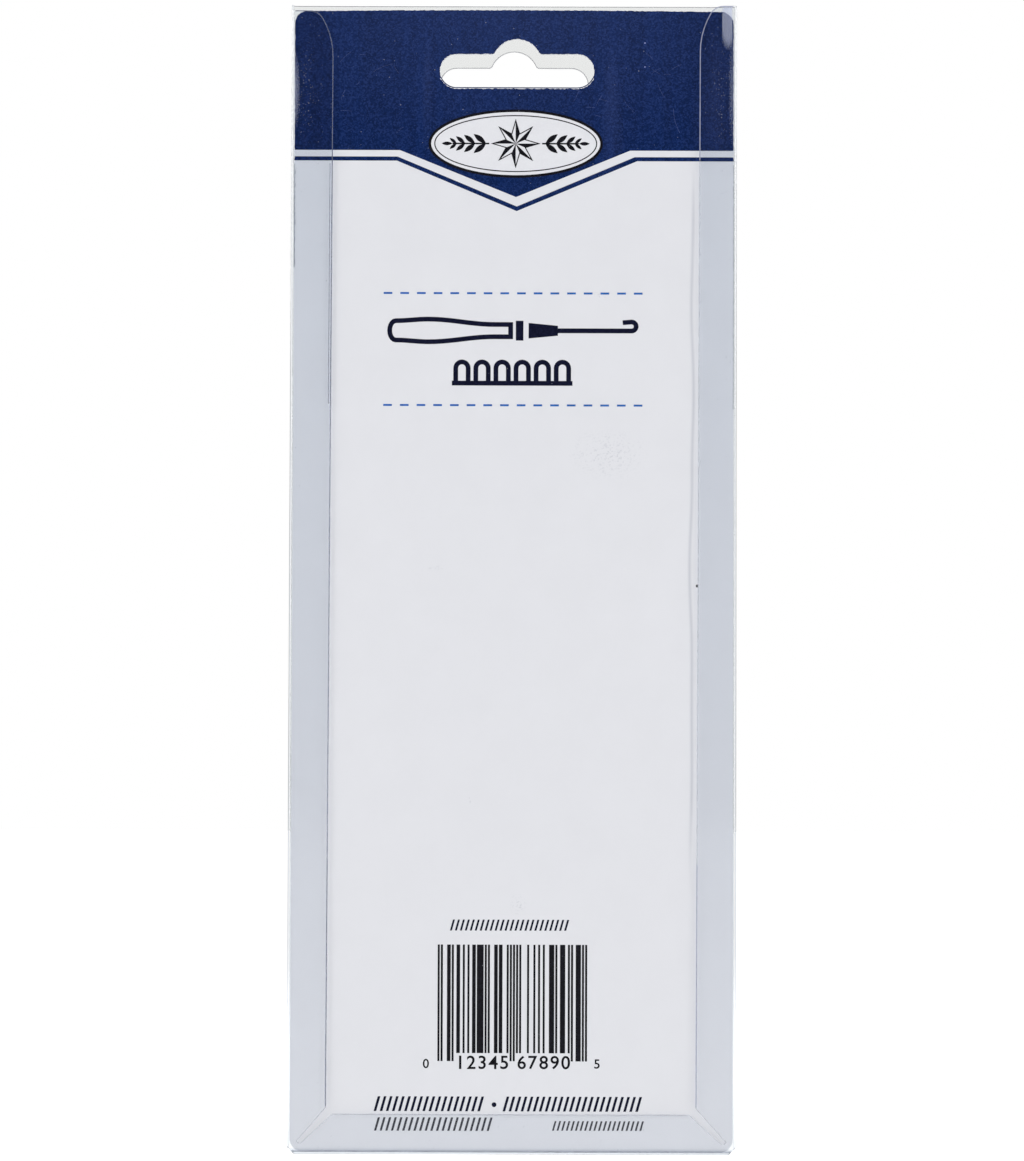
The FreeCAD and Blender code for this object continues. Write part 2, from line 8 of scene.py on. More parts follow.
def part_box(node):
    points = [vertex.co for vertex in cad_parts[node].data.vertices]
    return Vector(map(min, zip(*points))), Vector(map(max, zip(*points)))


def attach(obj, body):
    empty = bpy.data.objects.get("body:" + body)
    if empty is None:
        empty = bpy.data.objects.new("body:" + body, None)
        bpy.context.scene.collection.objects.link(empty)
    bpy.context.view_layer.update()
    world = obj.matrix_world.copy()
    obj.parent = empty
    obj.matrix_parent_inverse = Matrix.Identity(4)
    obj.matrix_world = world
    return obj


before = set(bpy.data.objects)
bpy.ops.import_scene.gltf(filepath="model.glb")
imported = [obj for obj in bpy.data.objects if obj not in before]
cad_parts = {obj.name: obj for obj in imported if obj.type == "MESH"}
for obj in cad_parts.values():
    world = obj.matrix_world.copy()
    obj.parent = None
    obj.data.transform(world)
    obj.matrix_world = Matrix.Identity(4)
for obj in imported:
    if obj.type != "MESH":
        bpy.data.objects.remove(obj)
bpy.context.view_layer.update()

# A rug hook in its hanging retail pack, seen from the back. The clear film sleeve has a
# bubble on its far side and three edges folded round onto its back, and a printed card
# stands in it. Places on the card are written in millimetres: x to the right and z up,
# from the crown of the sleeve's hang slot.

MM = 0.001
BACK, FRONT = -1, 1
WELD = 0.001 * MM
PANEL_BACK = 1.75 * MM

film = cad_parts["blister_shell"]
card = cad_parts["insert_card"]
card_low, card_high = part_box("insert_card")
film_low, film_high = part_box("blister_shell")
pack_middle = Vector((0, 0, (film_low.z + film_high.z) / 2))


# The camera stood a metre behind the pack, a little below its middle, turned by a hair

CAMERA_AWAY = 1.0
CAMERA_RISE = math.radians(-2.33)
CAMERA_TURN = math.radians(0.146)
CAMERA_ROLL = math.radians(0.174)
LENS = 146.87
SENSOR = 36.0
AIM = Vector((-0.154, 1.0, -112.24)) * MM


def way_out(turn, rise):
    """The direction away from the pack, at an angle round from its back and a height angle."""
    return Vector((
        math.sin(turn) * math.cos(rise),
        -math.cos(turn) * math.cos(rise),
        math.sin(rise),
    ))


def stand_camera():
    """Puts the camera where the picture was taken, with its roll."""
    back = way_out(CAMERA_TURN, CAMERA_RISE)
    right = Vector((0, 0, 1)).cross(back).normalized()
    up = back.cross(right)
    rolled_right = right * math.cos(CAMERA_ROLL) + up * math.sin(CAMERA_ROLL)
    rolled_up = back.cross(rolled_right)
    lens = bpy.data.cameras.new("camera")
    lens.lens = LENS
    lens.sensor_width = SENSOR
    camera = bpy.data.objects.new("camera", lens)
    turn = Matrix((rolled_right, rolled_up, back)).transposed().to_4x4()
    camera.matrix_world = Matrix.Translation(AIM + back * CAMERA_AWAY) @ turn
    bpy.context.scene.collection.objects.link(camera)
    bpy.context.scene.camera = camera


# Colours and nodes


def colour(code):
    """The linear colour of an sRGB hex code, by the sRGB curve."""
    channels = [int(code[place:place + 2], 16) / 255 for place in (0, 2, 4)]
    linear = [c / 12.92 if c <= 0.04045 else ((c + 0.055) / 1.055) ** 2.4 for c in channels]
    return (*linear, 1.0)


def add(tree, kind, sockets=None, **settings):
    """Adds one node with its settings. A socket is given by its name or number, and takes
    a value, or a link from another node or from one of its outputs. From and To take both
    ends of a map's range."""
    node = tree.nodes.new("ShaderNode" + kind)
    for name, value in settings.items():
        setattr(node, name, value)
    given = {}
    for key, value in (sockets or {}).items():
        if key in ("From", "To"):
            given[key + " Min"], given[key + " Max"] = value
        else:
            given[key] = value
    for key, value in given.items():
        usable = [socket for socket in node.inputs if socket.enabled]
        socket = usable[key] if isinstance(key, int) else next(s for s in usable if s.name == key)
        if isinstance(value, bpy.types.Node):
            value = next(output for output in value.outputs if output.enabled)
        if isinstance(value, bpy.types.NodeSocket):
            tree.links.new(value, socket)
        else:
            socket.default_value = value
    return node


def start_finish(name):
    """A new material, its bare tree, and the place on the piece."""
    finish = bpy.data.materials.new(name)
    finish.use_nodes = True
    tree = finish.node_tree
    tree.nodes.clear()
    return finish, tree, add(tree, "TexCoord").outputs["Object"]


def end_finish(finish, shader):
    """The material, with its shader on its surface."""
    add(finish.node_tree, "OutputMaterial", {"Surface": shader})
    return finish


# Light: a pale studio, dark square behind and square in front of the pack, so that gloss
# doesn't veil the print or the tool

SKY_FILL = 0.475
SKY_GLOSS = 0.9
DARK_ROOM = 0.03
DARK_ROOM_STARTS, DARK_ROOM_FULL = 0.2, 0.75
LAMP_AWAY = 1.3
LAMP_WIDE = 0.8
# name, angle round from the camera's side, height angle, watts
LAMPS = (
    ("key_left", -52, 5, 6.8),
    ("key_right", 55, 4, 6.2),
    ("far_left", -132, 24, 6.8),
    ("far_right", 128, 28, 7.2),
)
FLOOR_DROP = 30 * MM
FLOOR_REACH = 8.0
# how much the floor is lifted near the pack and far from it, and over what distance
FLOOR_LIFT_NEAR, FLOOR_LIFT_FAR = 0.24, 0.68
FLOOR_NEAR, FLOOR_FAR = 0.25, 0.8
# how much of that lift gloss sees on the floor square in front of the pack and behind it
FLOOR_DARK = 0.15


def looked_at(tree, rays):
    """1 for rays of the camera and rays that have gone through the film, and else 0."""
    return add(tree, "Math", {
        0: rays["Is Camera Ray"], 1: rays["Is Transmission Ray"]}, operation="MAXIMUM")


def dimmed_squarely(tree, way, bright, dark):
    """Goes from bright beside the pack to dark square behind and square in front of it."""
    depth = add(tree, "SeparateXYZ", {0: way}).outputs["Y"]
    squarely = add(tree, "Math", {0: depth}, operation="ABSOLUTE")
    return add(tree, "MapRange", {
        "Value": squarely, "From": (DARK_ROOM_STARTS, DARK_ROOM_FULL),
        "To": (bright, dark)}, interpolation_type="SMOOTHSTEP")


def light_studio():
    """The world and the lamps."""
    world = bpy.data.worlds.new("studio")
    world.use_nodes = True
    tree = world.node_tree
    tree.nodes.clear()
    rays = add(tree, "LightPath").outputs
    way = add(tree, "TexCoord").outputs["Generated"]
    gloss = dimmed_squarely(tree, way, SKY_GLOSS, DARK_ROOM)
    plain = add(tree, "Mix", {
        "Factor": rays["Is Glossy Ray"], "A": SKY_FILL, "B": gloss}, data_type="FLOAT")
    strength = add(tree, "Math", {
        0: plain, 1: looked_at(tree, rays)}, operation="MAXIMUM")
    sky = add(tree, "Background", {"Color": colour("ffffff"), "Strength": strength})
    add(tree, "OutputWorld", {"Surface": sky})
    bpy.context.scene.world = world
    for name, azimuth, rise, watts in LAMPS:
        lamp = bpy.data.lights.new(name, "AREA")
        lamp.shape = "DISK"
        lamp.size = LAMP_WIDE
        lamp.energy = watts
        away = way_out(math.radians(azimuth), math.radians(rise))
        holder = bpy.data.objects.new(name, lamp)
        aim = away.to_track_quat("Z", "Y").to_matrix().to_4x4()
        holder.matrix_world = Matrix.Translation(pack_middle + away * LAMP_AWAY) @ aim
        bpy.context.scene.collection.objects.link(holder)


def white_paper_floor():
    """Matt white paper. It is lifted to white where it is looked at, and keeps its shadow.
    The pack's gloss sees less of it where the studio is dark."""
    finish, tree, place = start_finish("white_paper_floor")
    rays = add(tree, "LightPath").outputs
    outward = add(tree, "VectorMath", {0: place}, operation="NORMALIZE")
    in_gloss = add(tree, "Math", {
        0: rays["Is Glossy Ray"], 1: dimmed_squarely(tree, outward, 1.0, FLOOR_DARK),
    }, operation="MULTIPLY")
    either = add(tree, "Math", {
        0: looked_at(tree, rays), 1: in_gloss}, operation="MAXIMUM")
    away = add(tree, "VectorMath", {0: place}, operation="LENGTH")
    pool = add(tree, "MapRange", {
        "Value": away.outputs["Value"], "From": (FLOOR_NEAR, FLOOR_FAR),
        "To": (FLOOR_LIFT_NEAR, FLOOR_LIFT_FAR)})
    lift = add(tree, "Math", {0: either, 1: pool}, operation="MULTIPLY")
    matt = add(tree, "BsdfDiffuse", {"Color": colour("eeeeee")})
    glow = add(tree, "Emission", {"Strength": lift})
    both = add(tree, "AddShader", {0: matt, 1: glow})
    return end_finish(finish, both)


def lay_floor():
    """One wide sheet below the pack."""
    level = film_low.z - FLOOR_DROP
    corners = [
        (x * FLOOR_REACH, y * FLOOR_REACH, level)
        for x, y in ((-1, -1), (1, -1), (1, 1), (-1, 1))
    ]
    mesh = bpy.data.meshes.new("floor")
    mesh.from_pydata(corners, [], [(0, 1, 2, 3)])
    mesh.materials.append(white_paper_floor())
    floor = bpy.data.objects.new("floor", mesh)
    bpy.context.scene.collection.objects.link(floor)


# Finishes. Pattern sizes are in millimetres.

# scuffs on the card's back: x, z, half width, half height
SCUFFS = (
    (-16.4, -109.7, 1.9, 0.8),
    (-8.9, -158.6, 0.35, 0.9),
    (18.3, -51.9, 1.6, 1.4),
    (1.3, -180.6, 2.0, 2.6),
    (20.0, -85.5, 9.0, 6.0),
)
# one dark speck on the card
SPECKS = ((38.9, -113.3, 0.3, 0.35),)
# the painted shadow line that the right folded edge throws on the card: its x, half width,
# sway and length of the sway, where it starts, is full, fades and ends, how much of the
# board it greys, and the noise that sways it
EDGE_SHADOW_X, EDGE_SHADOW_WIDE, EDGE_SHADOW_SWAY, EDGE_SHADOW_SWAY_LONG = 37.8, 0.5, 1.1, 45.0
EDGE_SHADOW_STARTS, EDGE_SHADOW_FULL, EDGE_SHADOW_FADES, EDGE_SHADOW_ENDS = -24.0, -36.0, -158.0, -176.0
EDGE_SHADOW_SHARE = 0.56
EDGE_SHADOW_LEVELS = (0.3, 0.7)
# sizes of the board's cloudy places, of its grit and of its tooth
BOARD_CLUMP, BOARD_GRIT, BOARD_TOOTH = 9.0, 0.5, 0.35
# the board's dull and bright tones, the grey of its scuffs and of the painted edge shadow, and its
# speck's tone
BOARD_DULL, BOARD_BRIGHT, SCUFF_AND_SHADOW_TONE, SPECK_TONE = "e3e4e9", "e7e8ed", "b9bcc6", "17171b"
# the levels of grit between which a scuffed place is rubbed, and by how much
GRIT_BARE, GRIT_RUBBED, SCUFF_SHARE = 0.54, 0.66, 0.5
BOARD_SHINY, BOARD_SATIN, BOARD_INDEX = 0.42, 0.55, 1.48
TOOTH_STRENGTH, TOOTH_DEEP = 0.12, 0.02


def spots(tree, place, marks, softness):
    """A mask that is 1 inside each soft oval mark, or the mark's own share where it names
    one, and 0 outside them all."""
    mask = None
    for x, z, half_wide, half_high, *share in marks:
        shift = add(tree, "VectorMath", {
            0: place, 1: (x * MM, 0, z * MM)}, operation="SUBTRACT")
        shrink = add(tree, "VectorMath", {
            0: shift, 1: (1 / (half_wide * MM), 0, 1 / (half_high * MM))}, operation="MULTIPLY")
        reach = add(tree, "VectorMath", {0: shrink}, operation="LENGTH")
        inside = add(tree, "MapRange", {
            "Value": reach.outputs["Value"], "From": (1.0, 1.0 - softness),
            "To Max": share[0] if share else 1.0})
        mask = inside if mask is None else add(tree, "Math", {
            0: mask, 1: inside}, operation="MAXIMUM")
    return mask


def back_only(tree, place, mask):
    """Keeps a mask off the card's front."""
    depth = add(tree, "SeparateXYZ", {0: place}).outputs["Y"]
    behind = add(tree, "Math", {
        0: depth, 1: (card_low.y + card_high.y) / 2}, operation="LESS_THAN")
    return add(tree, "Math", {0: mask, 1: behind}, operation="MULTIPLY")


def painted_edge_shadow(tree, place):
    """A mask of the painted shadow that the right folded edge throws on the card: a soft line
    that wanders a little beside the edge.
    """
    axes = add(tree, "SeparateXYZ", {0: place}).outputs
    upright = add(tree, "CombineXYZ", {"Z": axes["Z"]})
    wander = add(tree, "TexNoise", {
        "Vector": upright, "Scale": 1 / (EDGE_SHADOW_SWAY_LONG * MM), "Detail": 1.0})
    line_x = add(tree, "MapRange", {
        "Value": wander.outputs[0], "From": EDGE_SHADOW_LEVELS,
        "To": ((EDGE_SHADOW_X - EDGE_SHADOW_SWAY / 2) * MM, (EDGE_SHADOW_X + EDGE_SHADOW_SWAY / 2) * MM)})
    aside = add(tree, "Math", {0: axes["X"], 1: line_x}, operation="SUBTRACT")
    off = add(tree, "Math", {0: aside}, operation="ABSOLUTE")
    line = add(tree, "MapRange", {
        "Value": off, "From": (EDGE_SHADOW_WIDE * MM, 0.0), "To Max": EDGE_SHADOW_SHARE})
    begun = add(tree, "MapRange", {
        "Value": axes["Z"], "From": (EDGE_SHADOW_STARTS * MM, EDGE_SHADOW_FULL * MM)})
    left = add(tree, "MapRange", {
        "Value": axes["Z"], "From": (EDGE_SHADOW_ENDS * MM, EDGE_SHADOW_FADES * MM)})
    down = add(tree, "Math", {0: begun, 1: left}, operation="MULTIPLY")
    return add(tree, "Math", {0: line, 1: down}, operation="MULTIPLY")


def clay_coated_board():
    """Clay-coated white paperboard, die cut: a smooth satin white, a touch blue, with a faint
    mottle from the fibres under its coat, a few rubbed places, and a painted shadow line
    beside the right folded edge."""
    finish, tree, place = start_finish("clay_coated_board")
    clumps = add(tree, "TexNoise", {
        "Vector": place, "Scale": 1 / (BOARD_CLUMP * MM), "Detail": 3.0, "Roughness": 0.6})
    tone = add(tree, "Mix", {
        "Factor": clumps.outputs[0], "A": colour(BOARD_DULL), "B": colour(BOARD_BRIGHT),
    }, data_type="RGBA")
    grit = add(tree, "TexNoise", {
        "Vector": place, "Scale": 1 / (BOARD_GRIT * MM), "Detail": 2.0, "Roughness": 0.7})
    rubbed = add(tree, "MapRange", {
        "Value": grit.outputs[0], "From": (GRIT_BARE, GRIT_RUBBED)})
    worn = add(tree, "Math", {
        0: rubbed, 1: spots(tree, place, SCUFFS, softness=0.9)}, operation="MULTIPLY")
    worn_share = add(tree, "Math", {0: worn, 1: SCUFF_SHARE}, operation="MULTIPLY")
    # the scuffs, and the painted shadow that the right folded edge throws on the card, greyed in
    # one tone
    worn_and_shaded = add(tree, "Math", {
        0: worn_share, 1: painted_edge_shadow(tree, place)}, operation="MAXIMUM")
    scuffed_and_shaded = add(tree, "Mix", {
        "Factor": back_only(tree, place, worn_and_shaded), "A": tone, "B": colour(SCUFF_AND_SHADOW_TONE),
    }, data_type="RGBA")
    dirt = back_only(tree, place, spots(tree, place, SPECKS, softness=0.3))
    tint = add(tree, "Mix", {
        "Factor": dirt, "A": scuffed_and_shaded, "B": colour(SPECK_TONE)}, data_type="RGBA")
    tooth = add(tree, "TexNoise", {
        "Vector": place, "Scale": 1 / (BOARD_TOOTH * MM), "Detail": 4.0})
    grain = add(tree, "Bump", {
        "Strength": TOOTH_STRENGTH, "Distance": TOOTH_DEEP * MM, "Height": tooth.outputs[0]})
    satin = add(tree, "MapRange", {
        "Value": clumps.outputs[0], "To": (BOARD_SHINY, BOARD_SATIN)})
    board = add(tree, "BsdfPrincipled", {
        "Base Color": tint, "Roughness": satin, "IOR": BOARD_INDEX, "Normal": grain})
    return end_finish(finish, board)


# widths of the ink's grain and streaks, pitch and width of its pin holes. The real screen
# is finer than a pixel of the picture, so the grain is as coarse as it needs to be to show.
INK_GRAIN, INK_STREAK, PIN_HOLE_PITCH, PIN_HOLE_WIDE = 0.28, 2.5, 1.2, 0.2
# the board's tone in the pin holes, and the pale tone that rubbed ink and the header's painted
# sheen go towards
BOARD_TONE, WEAR_AND_SHEEN_TONE = "e5e6eb", "b5c0ff"
# pale bands in the header, the wide third being a painted sheen of the light across its top:
# x, z, half width, half height
HEADER_BANDS_AND_SHEEN = (
    (20.6, -8.0, 3.2, 26.0),
    (-18.4, -4.0, 2.0, 18.0),
    (0.0, 12.0, 70.0, 34.0),
    (42.5, -8.0, 5.5, 30.0),
)
BAND_AND_SHEEN_SHARE = 0.026
# chips in the header's back: x, z, half width, half height
HEADER_CHIPS = ((27.7, 1.9, 0.22, 0.18), (27.7, -3.2, 0.18, 0.16))
CHIP_SHARE = 0.5
# ink rolled on upright leaves streaks along the card
INK_ROLLED = (1.0, 1.0, 0.04)
# the levels between which the ink's shade goes from its darkest to its palest, between
# which it thins out, and from which a cell of board has a pin hole
SHADE_LEVELS, THIN_LEVELS, HOLE_LEVEL = (0.2, 0.8), (0.4, 1.0), 0.4
INK_ROUGH, INK_SPECULAR = 0.34, 0.12


def header_wear_and_sheen(tree, place):
    """How much paler the header's ink is: soft upright bands where handling has rubbed it, a
    painted sheen of the light across its top, and a few small chips on the back."""
    bands_and_sheen = add(tree, "Math", {
        0: spots(tree, place, HEADER_BANDS_AND_SHEEN, softness=1.0), 1: BAND_AND_SHEEN_SHARE}, operation="MULTIPLY")
    chips = add(tree, "Math", {
        0: spots(tree, place, HEADER_CHIPS, softness=0.4), 1: CHIP_SHARE}, operation="MULTIPLY")
    return add(tree, "Math", {
        0: bands_and_sheen, 1: back_only(tree, place, chips)}, operation="ADD")


def offset_ink(name, code, fleck_share=0.3, unevenness=0.2, thinness=0.01, wear_and_sheen=None):
    """Offset ink on coated board: dense and flat, a little shinier than the board, with
    the fine grain of its screen and tiny pin holes where the board shows."""
    finish, tree, place = start_finish(name)
    screen = add(tree, "TexVoronoi", {
        "Vector": place, "Scale": 1 / (INK_GRAIN * MM), "Randomness": 1.0})
    grain = add(tree, "SeparateXYZ", {0: screen.outputs["Color"]}).outputs["X"]
    drawn = add(tree, "VectorMath", {0: place, 1: INK_ROLLED}, operation="MULTIPLY")
    rolled = add(tree, "TexNoise", {
        "Vector": drawn, "Scale": 1 / (INK_STREAK * MM), "Detail": 3.0, "Roughness": 0.5})
    lay = add(tree, "Mix", {
        "Factor": 0.5, "A": grain, "B": rolled.outputs[0]}, data_type="FLOAT")
    shade = add(tree, "MapRange", {
        "Value": lay, "From": SHADE_LEVELS,
        "To": (1 - unevenness, 1 + unevenness)})
    even = add(tree, "VectorMath", {
        0: colour(code)[:3], "Scale": shade}, operation="SCALE")
    thin_ink = add(tree, "MapRange", {
        "Value": grain, "From": THIN_LEVELS,
        "To Max": thinness})
    # thin ink, and on the header its rubbed bands and its painted sheen
    rubbed = add(tree, "Math", {
        0: thin_ink, 1: wear_and_sheen(tree, place) if wear_and_sheen else 0.0}, operation="ADD")
    worn = add(tree, "Mix", {
        "Factor": rubbed, "A": even, "B": colour(WEAR_AND_SHEEN_TONE)}, data_type="RGBA")
    dots = add(tree, "TexVoronoi", {
        "Vector": place, "Scale": 1 / (PIN_HOLE_PITCH * MM), "Randomness": 1.0})
    picked = add(tree, "SeparateXYZ", {0: dots.outputs["Color"]}).outputs["X"]
    size = add(tree, "MapRange", {
        "Value": picked, "From": (HOLE_LEVEL, 1.0),
        "To Max": PIN_HOLE_WIDE / PIN_HOLE_PITCH / 2})
    hole = add(tree, "Math", {
        0: dots.outputs["Distance"], 1: size}, operation="LESS_THAN")
    share = add(tree, "Math", {0: hole, 1: fleck_share}, operation="MULTIPLY")
    tint = add(tree, "Mix", {
        "Factor": share, "A": worn, "B": colour(BOARD_TONE)}, data_type="RGBA")
    ink = add(tree, "BsdfPrincipled", {
        "Base Color": tint, "Roughness": INK_ROUGH, "Specular IOR Level": INK_SPECULAR})
    return end_finish(finish, ink)


# what the film lets through, low and high on its folded edges, and where it bends; the
# darker tint high up and in the bends is painted shade
FILM_FOOT_TINT = (0.985, 0.991, 0.998, 1.0)
FILM_TOP_TINT_AND_SHADE = (0.961, 0.974, 0.989, 1.0)
# the front panel is seen with nothing behind it but white, and looks a plain grey
PANEL_TINT = (0.926, 0.931, 0.928, 1.0)
FOLD_FOOT_SHADE = (0.83, 0.85, 0.875, 1.0)
FOLD_TOP_SHADE = (0.94, 0.95, 0.96, 1.0)
FOLD_WIDE = 0.75
FOOT_FOLD_STARTS, FOOT_FOLD_FULL = 1.4, 0.5
# painted shade where the film is looked through edge on
FILM_EDGE_SHADE = (0.50, 0.52, 0.57, 1.0)
# what a face of PET, of index 1.57, mirrors when looked at squarely
FILM_MIRROR = 0.035
FILM_GLOSS_ROUGH = 0.06
# how fast the edge tint and the mirror grow as the film turns edge on
EDGE_TINT_POWER, MIRROR_POWER = 4.0, 5.0
# the streaks of the rolls run upright
STREAK_PITCH, STREAK_RUN, STREAK_STRENGTH, STREAK_DEEP = 2.4, (1.0, 1.0, 0.02), 0.25, 0.05
# pitch of the specks, share of bare cells, and reach of the largest speck in its cell
COARSE_DUST = (0.9, 0.5, 0.1)
FINE_DUST = (0.5, 0.1, 0.24)
# places that have gathered fine dust: x, z, half width, half height
DUSTY = (
    (43.9, -9.0, 2.3, 13.0),
    (-44.0, -9.0, 2.2, 12.0),
)
# hazy places, and last the share of light that each scatters
FILM_HAZE = (
    (-46.3, -8.6, 1.0, 8.5, 0.14),
    (46.2, -8.0, 0.8, 13.0, 0.08),
)
# a pale patch in the right upper corner, its straight sides, and its share
PALE_PATCH = ((45.4, 6.5, 2.0, 6.3),)
PALE_PATCH_SIDE, PALE_PATCH_END, PALE_PATCH_SHARE = 44.05, 46.2, 0.21
# how much of the light fine dust scatters, and its tone, a little blue over a dark print
DUST_SHARE, DUST_TONE = 0.3, "d6dcf4"
# the chatter of the knife along a cut
CHATTER_LONG, CHATTER_LEVELS = 3.0, (0.3, 0.7)


def dust_specks(tree, place, pitch, bare_share, reach):
    """A mask of round specks in cells of a pitch. A share of the cells is bare, and the
    others' specks have up to a reach of the pitch."""
    cells = add(tree, "TexVoronoi", {
        "Vector": place, "Scale": 1 / (pitch * MM), "Randomness": 1.0})
    picked = add(tree, "SeparateXYZ", {0: cells.outputs["Color"]}).outputs["X"]
    size = add(tree, "MapRange", {
        "Value": picked, "From": (bare_share, 1.0), "To Max": reach})
    return add(tree, "Math", {0: cells.outputs["Distance"], 1: size}, operation="LESS_THAN")


def clear_pet_film():
    """PET sheet, heat formed and folded: clear and glossy, with the long streaks of its rolling
    and a little dust. Painted shade makes it blue-grey where it is looked through edge on,
    darker in its folds and a little darker towards its top."""
    finish, tree, place = start_finish("clear_pet_film")
    axes = add(tree, "SeparateXYZ", {0: place}).outputs
    height = add(tree, "MapRange", {
        "Value": axes["Z"], "From": (film_low.z, film_high.z)})
    flange_tint_and_shade = add(tree, "Mix", {
        "Factor": height, "A": FILM_FOOT_TINT, "B": FILM_TOP_TINT_AND_SHADE}, data_type="RGBA")
    on_panel = add(tree, "MapRange", {
        "Value": axes["Y"], "From": (card_high.y, PANEL_BACK)})
    flat = add(tree, "Mix", {
        "Factor": on_panel, "A": flange_tint_and_shade, "B": PANEL_TINT}, data_type="RGBA")
    beside = add(tree, "Math", {0: axes["X"]}, operation="ABSOLUTE")
    side_fold = add(tree, "MapRange", {
        "Value": beside, "From": (film_high.x - FOLD_WIDE * MM, film_high.x)})
    foot_fold = add(tree, "MapRange", {
        "Value": axes["Z"],
        "From": (film_low.z + FOOT_FOLD_STARTS * MM, film_low.z + FOOT_FOLD_FULL * MM)})
    fold = add(tree, "Math", {0: side_fold, 1: foot_fold}, operation="MAXIMUM")
    fold_shade = add(tree, "Mix", {
        "Factor": height, "A": FOLD_FOOT_SHADE, "B": FOLD_TOP_SHADE}, data_type="RGBA")
    tint = add(tree, "Mix", {"Factor": fold, "A": flat, "B": fold_shade}, data_type="RGBA")
    facing = add(tree, "LayerWeight", {"Blend": 0.5}).outputs["Facing"]
    grazing = add(tree, "Math", {0: facing, 1: EDGE_TINT_POWER}, operation="POWER")
    edge_shaded = add(tree, "Mix", {
        "Factor": grazing, "A": tint, "B": FILM_EDGE_SHADE}, data_type="RGBA")
    through = add(tree, "BsdfTransparent", {"Color": edge_shaded})
    drawn = add(tree, "VectorMath", {
        0: place, 1: STREAK_RUN}, operation="MULTIPLY")
    streaks = add(tree, "TexNoise", {
        "Vector": drawn, "Scale": 1 / (STREAK_PITCH * MM), "Detail": 4.0})
    ripple = add(tree, "Bump", {
        "Strength": STREAK_STRENGTH, "Distance": STREAK_DEEP * MM,
        "Height": streaks.outputs[0]})
    gloss = add(tree, "BsdfAnisotropic", {
        "Color": (1, 1, 1, 1), "Roughness": FILM_GLOSS_ROUGH, "Normal": ripple})
    glance = add(tree, "Math", {0: facing, 1: MIRROR_POWER}, operation="POWER")
    mirror = add(tree, "MapRange", {
        "Value": glance, "To": (FILM_MIRROR, 1.0)})
    clear = add(tree, "MixShader", {0: mirror, 1: through, 2: gloss})
    coarse_dust = dust_specks(tree, place, *COARSE_DUST)
    fine_dust = add(tree, "Math", {
        0: dust_specks(tree, place, *FINE_DUST),
        1: spots(tree, place, DUSTY, softness=0.6)}, operation="MULTIPLY")
    specks = add(tree, "Math", {0: coarse_dust, 1: fine_dust}, operation="MAXIMUM")
    speck_share = add(tree, "Math", {0: specks, 1: DUST_SHARE}, operation="MULTIPLY")
    inside = add(tree, "Math", {
        0: axes["X"], 1: (PALE_PATCH_SIDE + PALE_PATCH_END) / 2 * MM,
        2: (PALE_PATCH_END - PALE_PATCH_SIDE) / 2 * MM}, operation="COMPARE")
    patch_mask = add(tree, "Math", {
        0: spots(tree, place, PALE_PATCH, softness=0.4), 1: inside}, operation="MULTIPLY")
    patch_share = add(tree, "Math", {0: patch_mask, 1: PALE_PATCH_SHARE}, operation="MULTIPLY")
    hazy = add(tree, "Math", {
        0: spots(tree, place, FILM_HAZE, softness=0.9), 1: patch_share}, operation="MAXIMUM")
    most = add(tree, "Math", {0: speck_share, 1: hazy}, operation="MAXIMUM")
    over_card = add(tree, "Math", {0: beside, 1: card_high.x}, operation="LESS_THAN")
    dull = add(tree, "Math", {0: most, 1: over_card}, operation="MULTIPLY")
    scatter = add(tree, "BsdfDiffuse", {"Color": colour(DUST_TONE)})
    whole = add(tree, "MixShader", {0: dull, 1: clear, 2: scatter})
    return end_finish(finish, whole)


def knife_cut_film(name, code, through_tint, least, most):
    """The film's knife-cut edge: slightly rough, so that it gathers light as a pale line."""
    finish, tree, place = start_finish(name)
    chatter = add(tree, "TexNoise", {
        "Vector": place, "Scale": 1 / (CHATTER_LONG * MM), "Detail": 4.0, "Roughness": 0.7})
    share = add(tree, "MapRange", {
        "Value": chatter.outputs[0],
        "From": CHATTER_LEVELS,
        "To": (least, most)})
    through = add(tree, "BsdfTransparent", {"Color": through_tint})
    rough = add(tree, "BsdfDiffuse", {"Color": colour(code)})
    edge = add(tree, "MixShader", {0: share, 1: through, 2: rough})
    return end_finish(finish, edge)


# the grain runs upright; its bands and its flecks are this wide
WOOD_RUN, WOOD_BAND, WOOD_FLECK = (1.0, 1.0, 0.06), 5.0, 0.55
WOOD_DARK, WOOD_PALE, WOOD_FLECK_TONE = "935b2a", "ca955b", "6a3c1b"
BAND_LEVELS, FLECK_LEVELS, FLECK_SHARE = (0.3, 0.7), (0.54, 0.64), 0.75
PORE_STRENGTH, PORE_DEEP = 0.3, 0.05
WAX_SMOOTH, WAX_ROUGH, WAX_COAT, WAX_COAT_ROUGH, WOOD_INDEX = 0.28, 0.5, 0.2, 0.25, 1.5
# width of a metal's working lines and of its cloudy places
METAL_LINE, METAL_CLOUD = 0.25, 6.0
SCORE_STRENGTH, SCORE_DEEP = 0.15, 0.02


